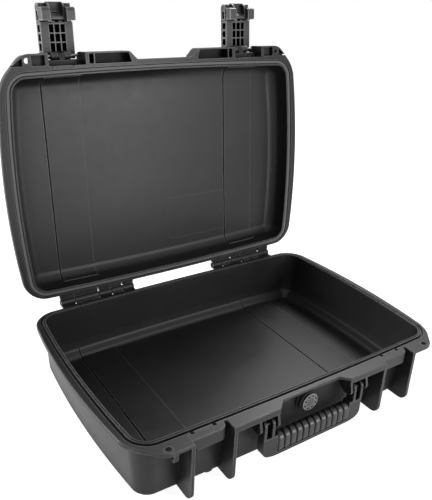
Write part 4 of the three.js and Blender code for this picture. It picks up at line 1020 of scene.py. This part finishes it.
# valve, feet and pins
# (radius, y) round the valve's middle
valvePartSizes = dict(flange=[(5, -168.6), (14.5, -168.6, 0.8), (14.5, -165.6, 0.5), (8, -165.6, 0.5),
                              (8, -146.2, 0.6), (5, -146.2), (5, -160), (5, -168.59)],
                      disc=[(0.05, -171.5), (3.2, -171.5), (3.8, -171.3), (6.6, -171.3), (7.2, -171.5),
                            (12.25, -171.5, 0.7), (12.25, -168.9, 0.3), (0.05, -168.9)],
                      vents=8, ventRing=9, vent=1.75, ventSpan=(-173, -168))


def buildValve():
    p = valvePartSizes
    z = valveSizes["z"]
    body = lathe("valve_flange", "y", (0, z), p["flange"])
    finishPiece(body, "base", "shell", footRubber, "valve_body")
    cap = lathe("valve_disc", "y", (0, z), p["disc"])
    for index in range(p["vents"]):
        turn = (index + 0.5) / p["vents"] * 2 * math.pi
        centre = (p["ventRing"] * math.cos(turn), z + p["ventRing"] * math.sin(turn))
        carve(cap, rod("hole", "y", p["ventSpan"], centre, p["vent"], 0, 18))
    finishPiece(cap, "base", "lever", leverPlastic, "valve_cap")


def buildFeet():
    f = footSizes
    r, low, dimple = f["radius"], -f["height"], f["dimple"]
    top = low + f["dimpleDepth"]
    profile = [(0.05, -f["sunk"]), (r, -f["sunk"], 0.4), (r - f["sole"], low, 1), (dimple, low, 0.4),
               (dimple - 0.4, top, 0.4), (0.05, top)]
    for row, sy in (("front", -1), ("back", 1)):
        for name, side in hands:
            foot = lathe(f"{row}_{name}_pad", "z", (side * f["x"], sy * f["y"]), profile)
            finishPiece(foot, "base", "rubber", footRubber, f"{row}_{name}_foot")


pinSizes = dict(latchSpan=(121.5, 181), latch=2, leverHalf=22.7, lever=1.7, edge=0.4)


def buildPins():
    h, t, s, v = hingeSizes, tabSizes, latchSizes, leverSizes
    for name, side in hands:
        inner = h["end"] - sum(knuckleWidths)
        finishPiece(rod(f"hinge_rod_{name}", "x", both(side, inner + h["gap"], h["end"] - h["gap"]),
                        (h["y"], h["z"]), h["pin"], 0.4, 32), "base", "steel", darkSteel, f"hinge_pin_{name}")
        inset, edge = tabBore["pinEdge"], pinSizes["edge"]
        handleRod = rod(f"handle_rod_{name}", "x",
                        both(side, t["inner"] + inset, t["outer"] + t["thick"] - inset),
                        (-t["pivotY"], t["pivotZ"]), tabBore["pin"], inset, 32)
        finishPiece(handleRod, "base", "steel", darkSteel, f"handle_pin_{name}")
        pin = rod(f"latch_rod_{name}", "x", both(side, *pinSizes["latchSpan"]), (s["y"], s["z"]),
                  pinSizes["latch"], edge, 32)
        finishPiece(openLid(pin), "lid", "steel", pinSteel, f"{name}_latch_pin")
        half = pinSizes["leverHalf"]
        lever = rod(f"lever_rod_{name}", "x", (side * s["centre"] - half, side * s["centre"] + half),
                    (s["y"] + v["pinIn"], s["z"] - v["pinDown"]), pinSizes["lever"], edge, 32)
        turnAbout(lever, s["y"], s["z"], -s["swing"])
        finishPiece(openLid(lever), f"{name}_latch", "steel", pinSteel, f"{name}_lever_pin")


springSizes = dict(radius=2.9, wire=0.4, pitch=1.48, turns=4, around=24, sides=10)


def buildSprings():
    coil, s, v = springSizes, latchSizes, leverSizes
    across = Vector((1, 0, 0))
    angles = [2 * math.pi * index / coil["sides"] for index in range(coil["sides"])]
    for name, side in hands:
        middle = Vector((side * s["centre"], s["y"] + v["pinIn"], s["z"] - v["pinDown"]))
        rings = []
        for index in range(coil["turns"] * coil["around"] + 1):
            turn = index / coil["around"]
            out = Vector((0, math.cos(2 * math.pi * turn), math.sin(2 * math.pi * turn)))
            centre = middle + across * ((turn - coil["turns"] / 2) * coil["pitch"]) + out * coil["radius"]
            rings.append([centre + coil["wire"] * (out * math.cos(angle) + across * math.sin(angle))
                          for angle in angles])
        spring = turnAbout(sweepRings(f"coil_{name}", rings), s["y"], s["z"], -s["swing"])
        finishPiece(openLid(spring), f"{name}_latch", "steel", pinSteel, f"{name}_lever_spring", smooth=60)


buildValve()
buildFeet()
buildPins()
buildSprings()
for node, material in (("valve_seal", sealRubber), ("valve_nut", shellPlastic),
                       ("valve_membrane", sealRubber)):
    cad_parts[node].material_slots[0].material = material
print("small parts ready")


# floor, backdrop, light and camera
stageSizes = dict(floor=12, height=0.003, matt=0.6, glow=0.92, spread=0.6, sky=0.05)


def paleStage():
    clearSelection()
    bpy.ops.mesh.primitive_plane_add(size=stageSizes["floor"], location=(0, 0, -stageSizes["height"]))
    floor = named("studio_floor")
    finish = Finish(bpy.data.materials.new("pale_floor"))
    spread = finish.node("ShaderNodeMapping", {},
                         {"Vector": finish.place, "Scale": [stageSizes["spread"]] * 3})
    near = finish.node("ShaderNodeTexGradient", dict(gradient_type="SPHERICAL"), {"Vector": spread})
    pale = finish.ramp(near, (0, 1), (0.5, stageSizes["glow"]))  # whiter far away, where no shadow falls
    matt = finish.node("ShaderNodeBsdfDiffuse", {}, {"Color": [stageSizes["matt"]] * 3 + [1]})
    glow = finish.node("ShaderNodeEmission", {}, {"Color": pale, "Strength": finish.seenRays()})
    floor.data.materials.append(finish.show(finish.node("ShaderNodeAddShader", {}, {0: matt, 1: glow})))

    world = bpy.context.scene.world = bpy.data.worlds.new("studio")
    sky = Finish(world)
    strength = sky.node("ShaderNodeMapRange", {}, {"Value": sky.seenRays(), "To Min": stageSizes["sky"],
                                                   "To Max": 1})
    sky.show(sky.node("ShaderNodeBackground", {}, {"Color": (1, 1, 1, 1), "Strength": strength}), "World")


def softBox(name, place, target, size, power):
    clearSelection()
    bpy.ops.object.light_add(type="AREA", location=place)
    lamp = named(name)
    lamp.rotation_mode = "QUATERNION"
    lamp.rotation_quaternion = (Vector(target) - Vector(place)).to_track_quat("-Z", "Y")
    lamp.data.shape = "RECTANGLE"
    lamp.data.size, lamp.data.size_y = size
    lamp.data.energy = power


cameraSizes = dict(azimuth=34.52, dip=24.73, roll=2.75, eye=(-0.4623, -0.6170, 0.5570), lens=44.37, sensor=36)


def studioCamera():
    c = cameraSizes
    azimuth, dip = math.radians(c["azimuth"]), math.radians(c["dip"])
    ahead = Vector((math.sin(azimuth) * math.cos(dip), math.cos(azimuth) * math.cos(dip), -math.sin(dip)))
    bpy.ops.object.camera_add()
    camera = bpy.context.object
    turned = ahead.to_track_quat("-Z", "Y").to_matrix().to_4x4()
    roll = Matrix.Rotation(math.radians(c["roll"]), 4, "Z")
    camera.matrix_world = Matrix.Translation(c["eye"]) @ turned @ roll
    camera.data.lens = c["lens"]
    camera.data.sensor_width = c["sensor"]
    bpy.context.scene.camera = camera


paleStage()
softBox("key", (0.65, -1.45, 0.55), (0, 0, 0.1), (0.6, 0.4), 10)
softBox("low", (0.3, -0.85, 0.12), (0, -0.18, 0.04), (0.5, 0.2), 1.7)
softBox("side", (-1.7, 0.7, 0.5), (-0.25, 0, 0.06), (0.7, 0.5), 26)
softBox("top", (1.1, 0.8, 1.8), (0, 0, 0.1), (0.5, 0.5), 26)
studioCamera()
bpy.context.scene.view_settings.view_transform = "Standard"
clearSelection()
print("stage ready")
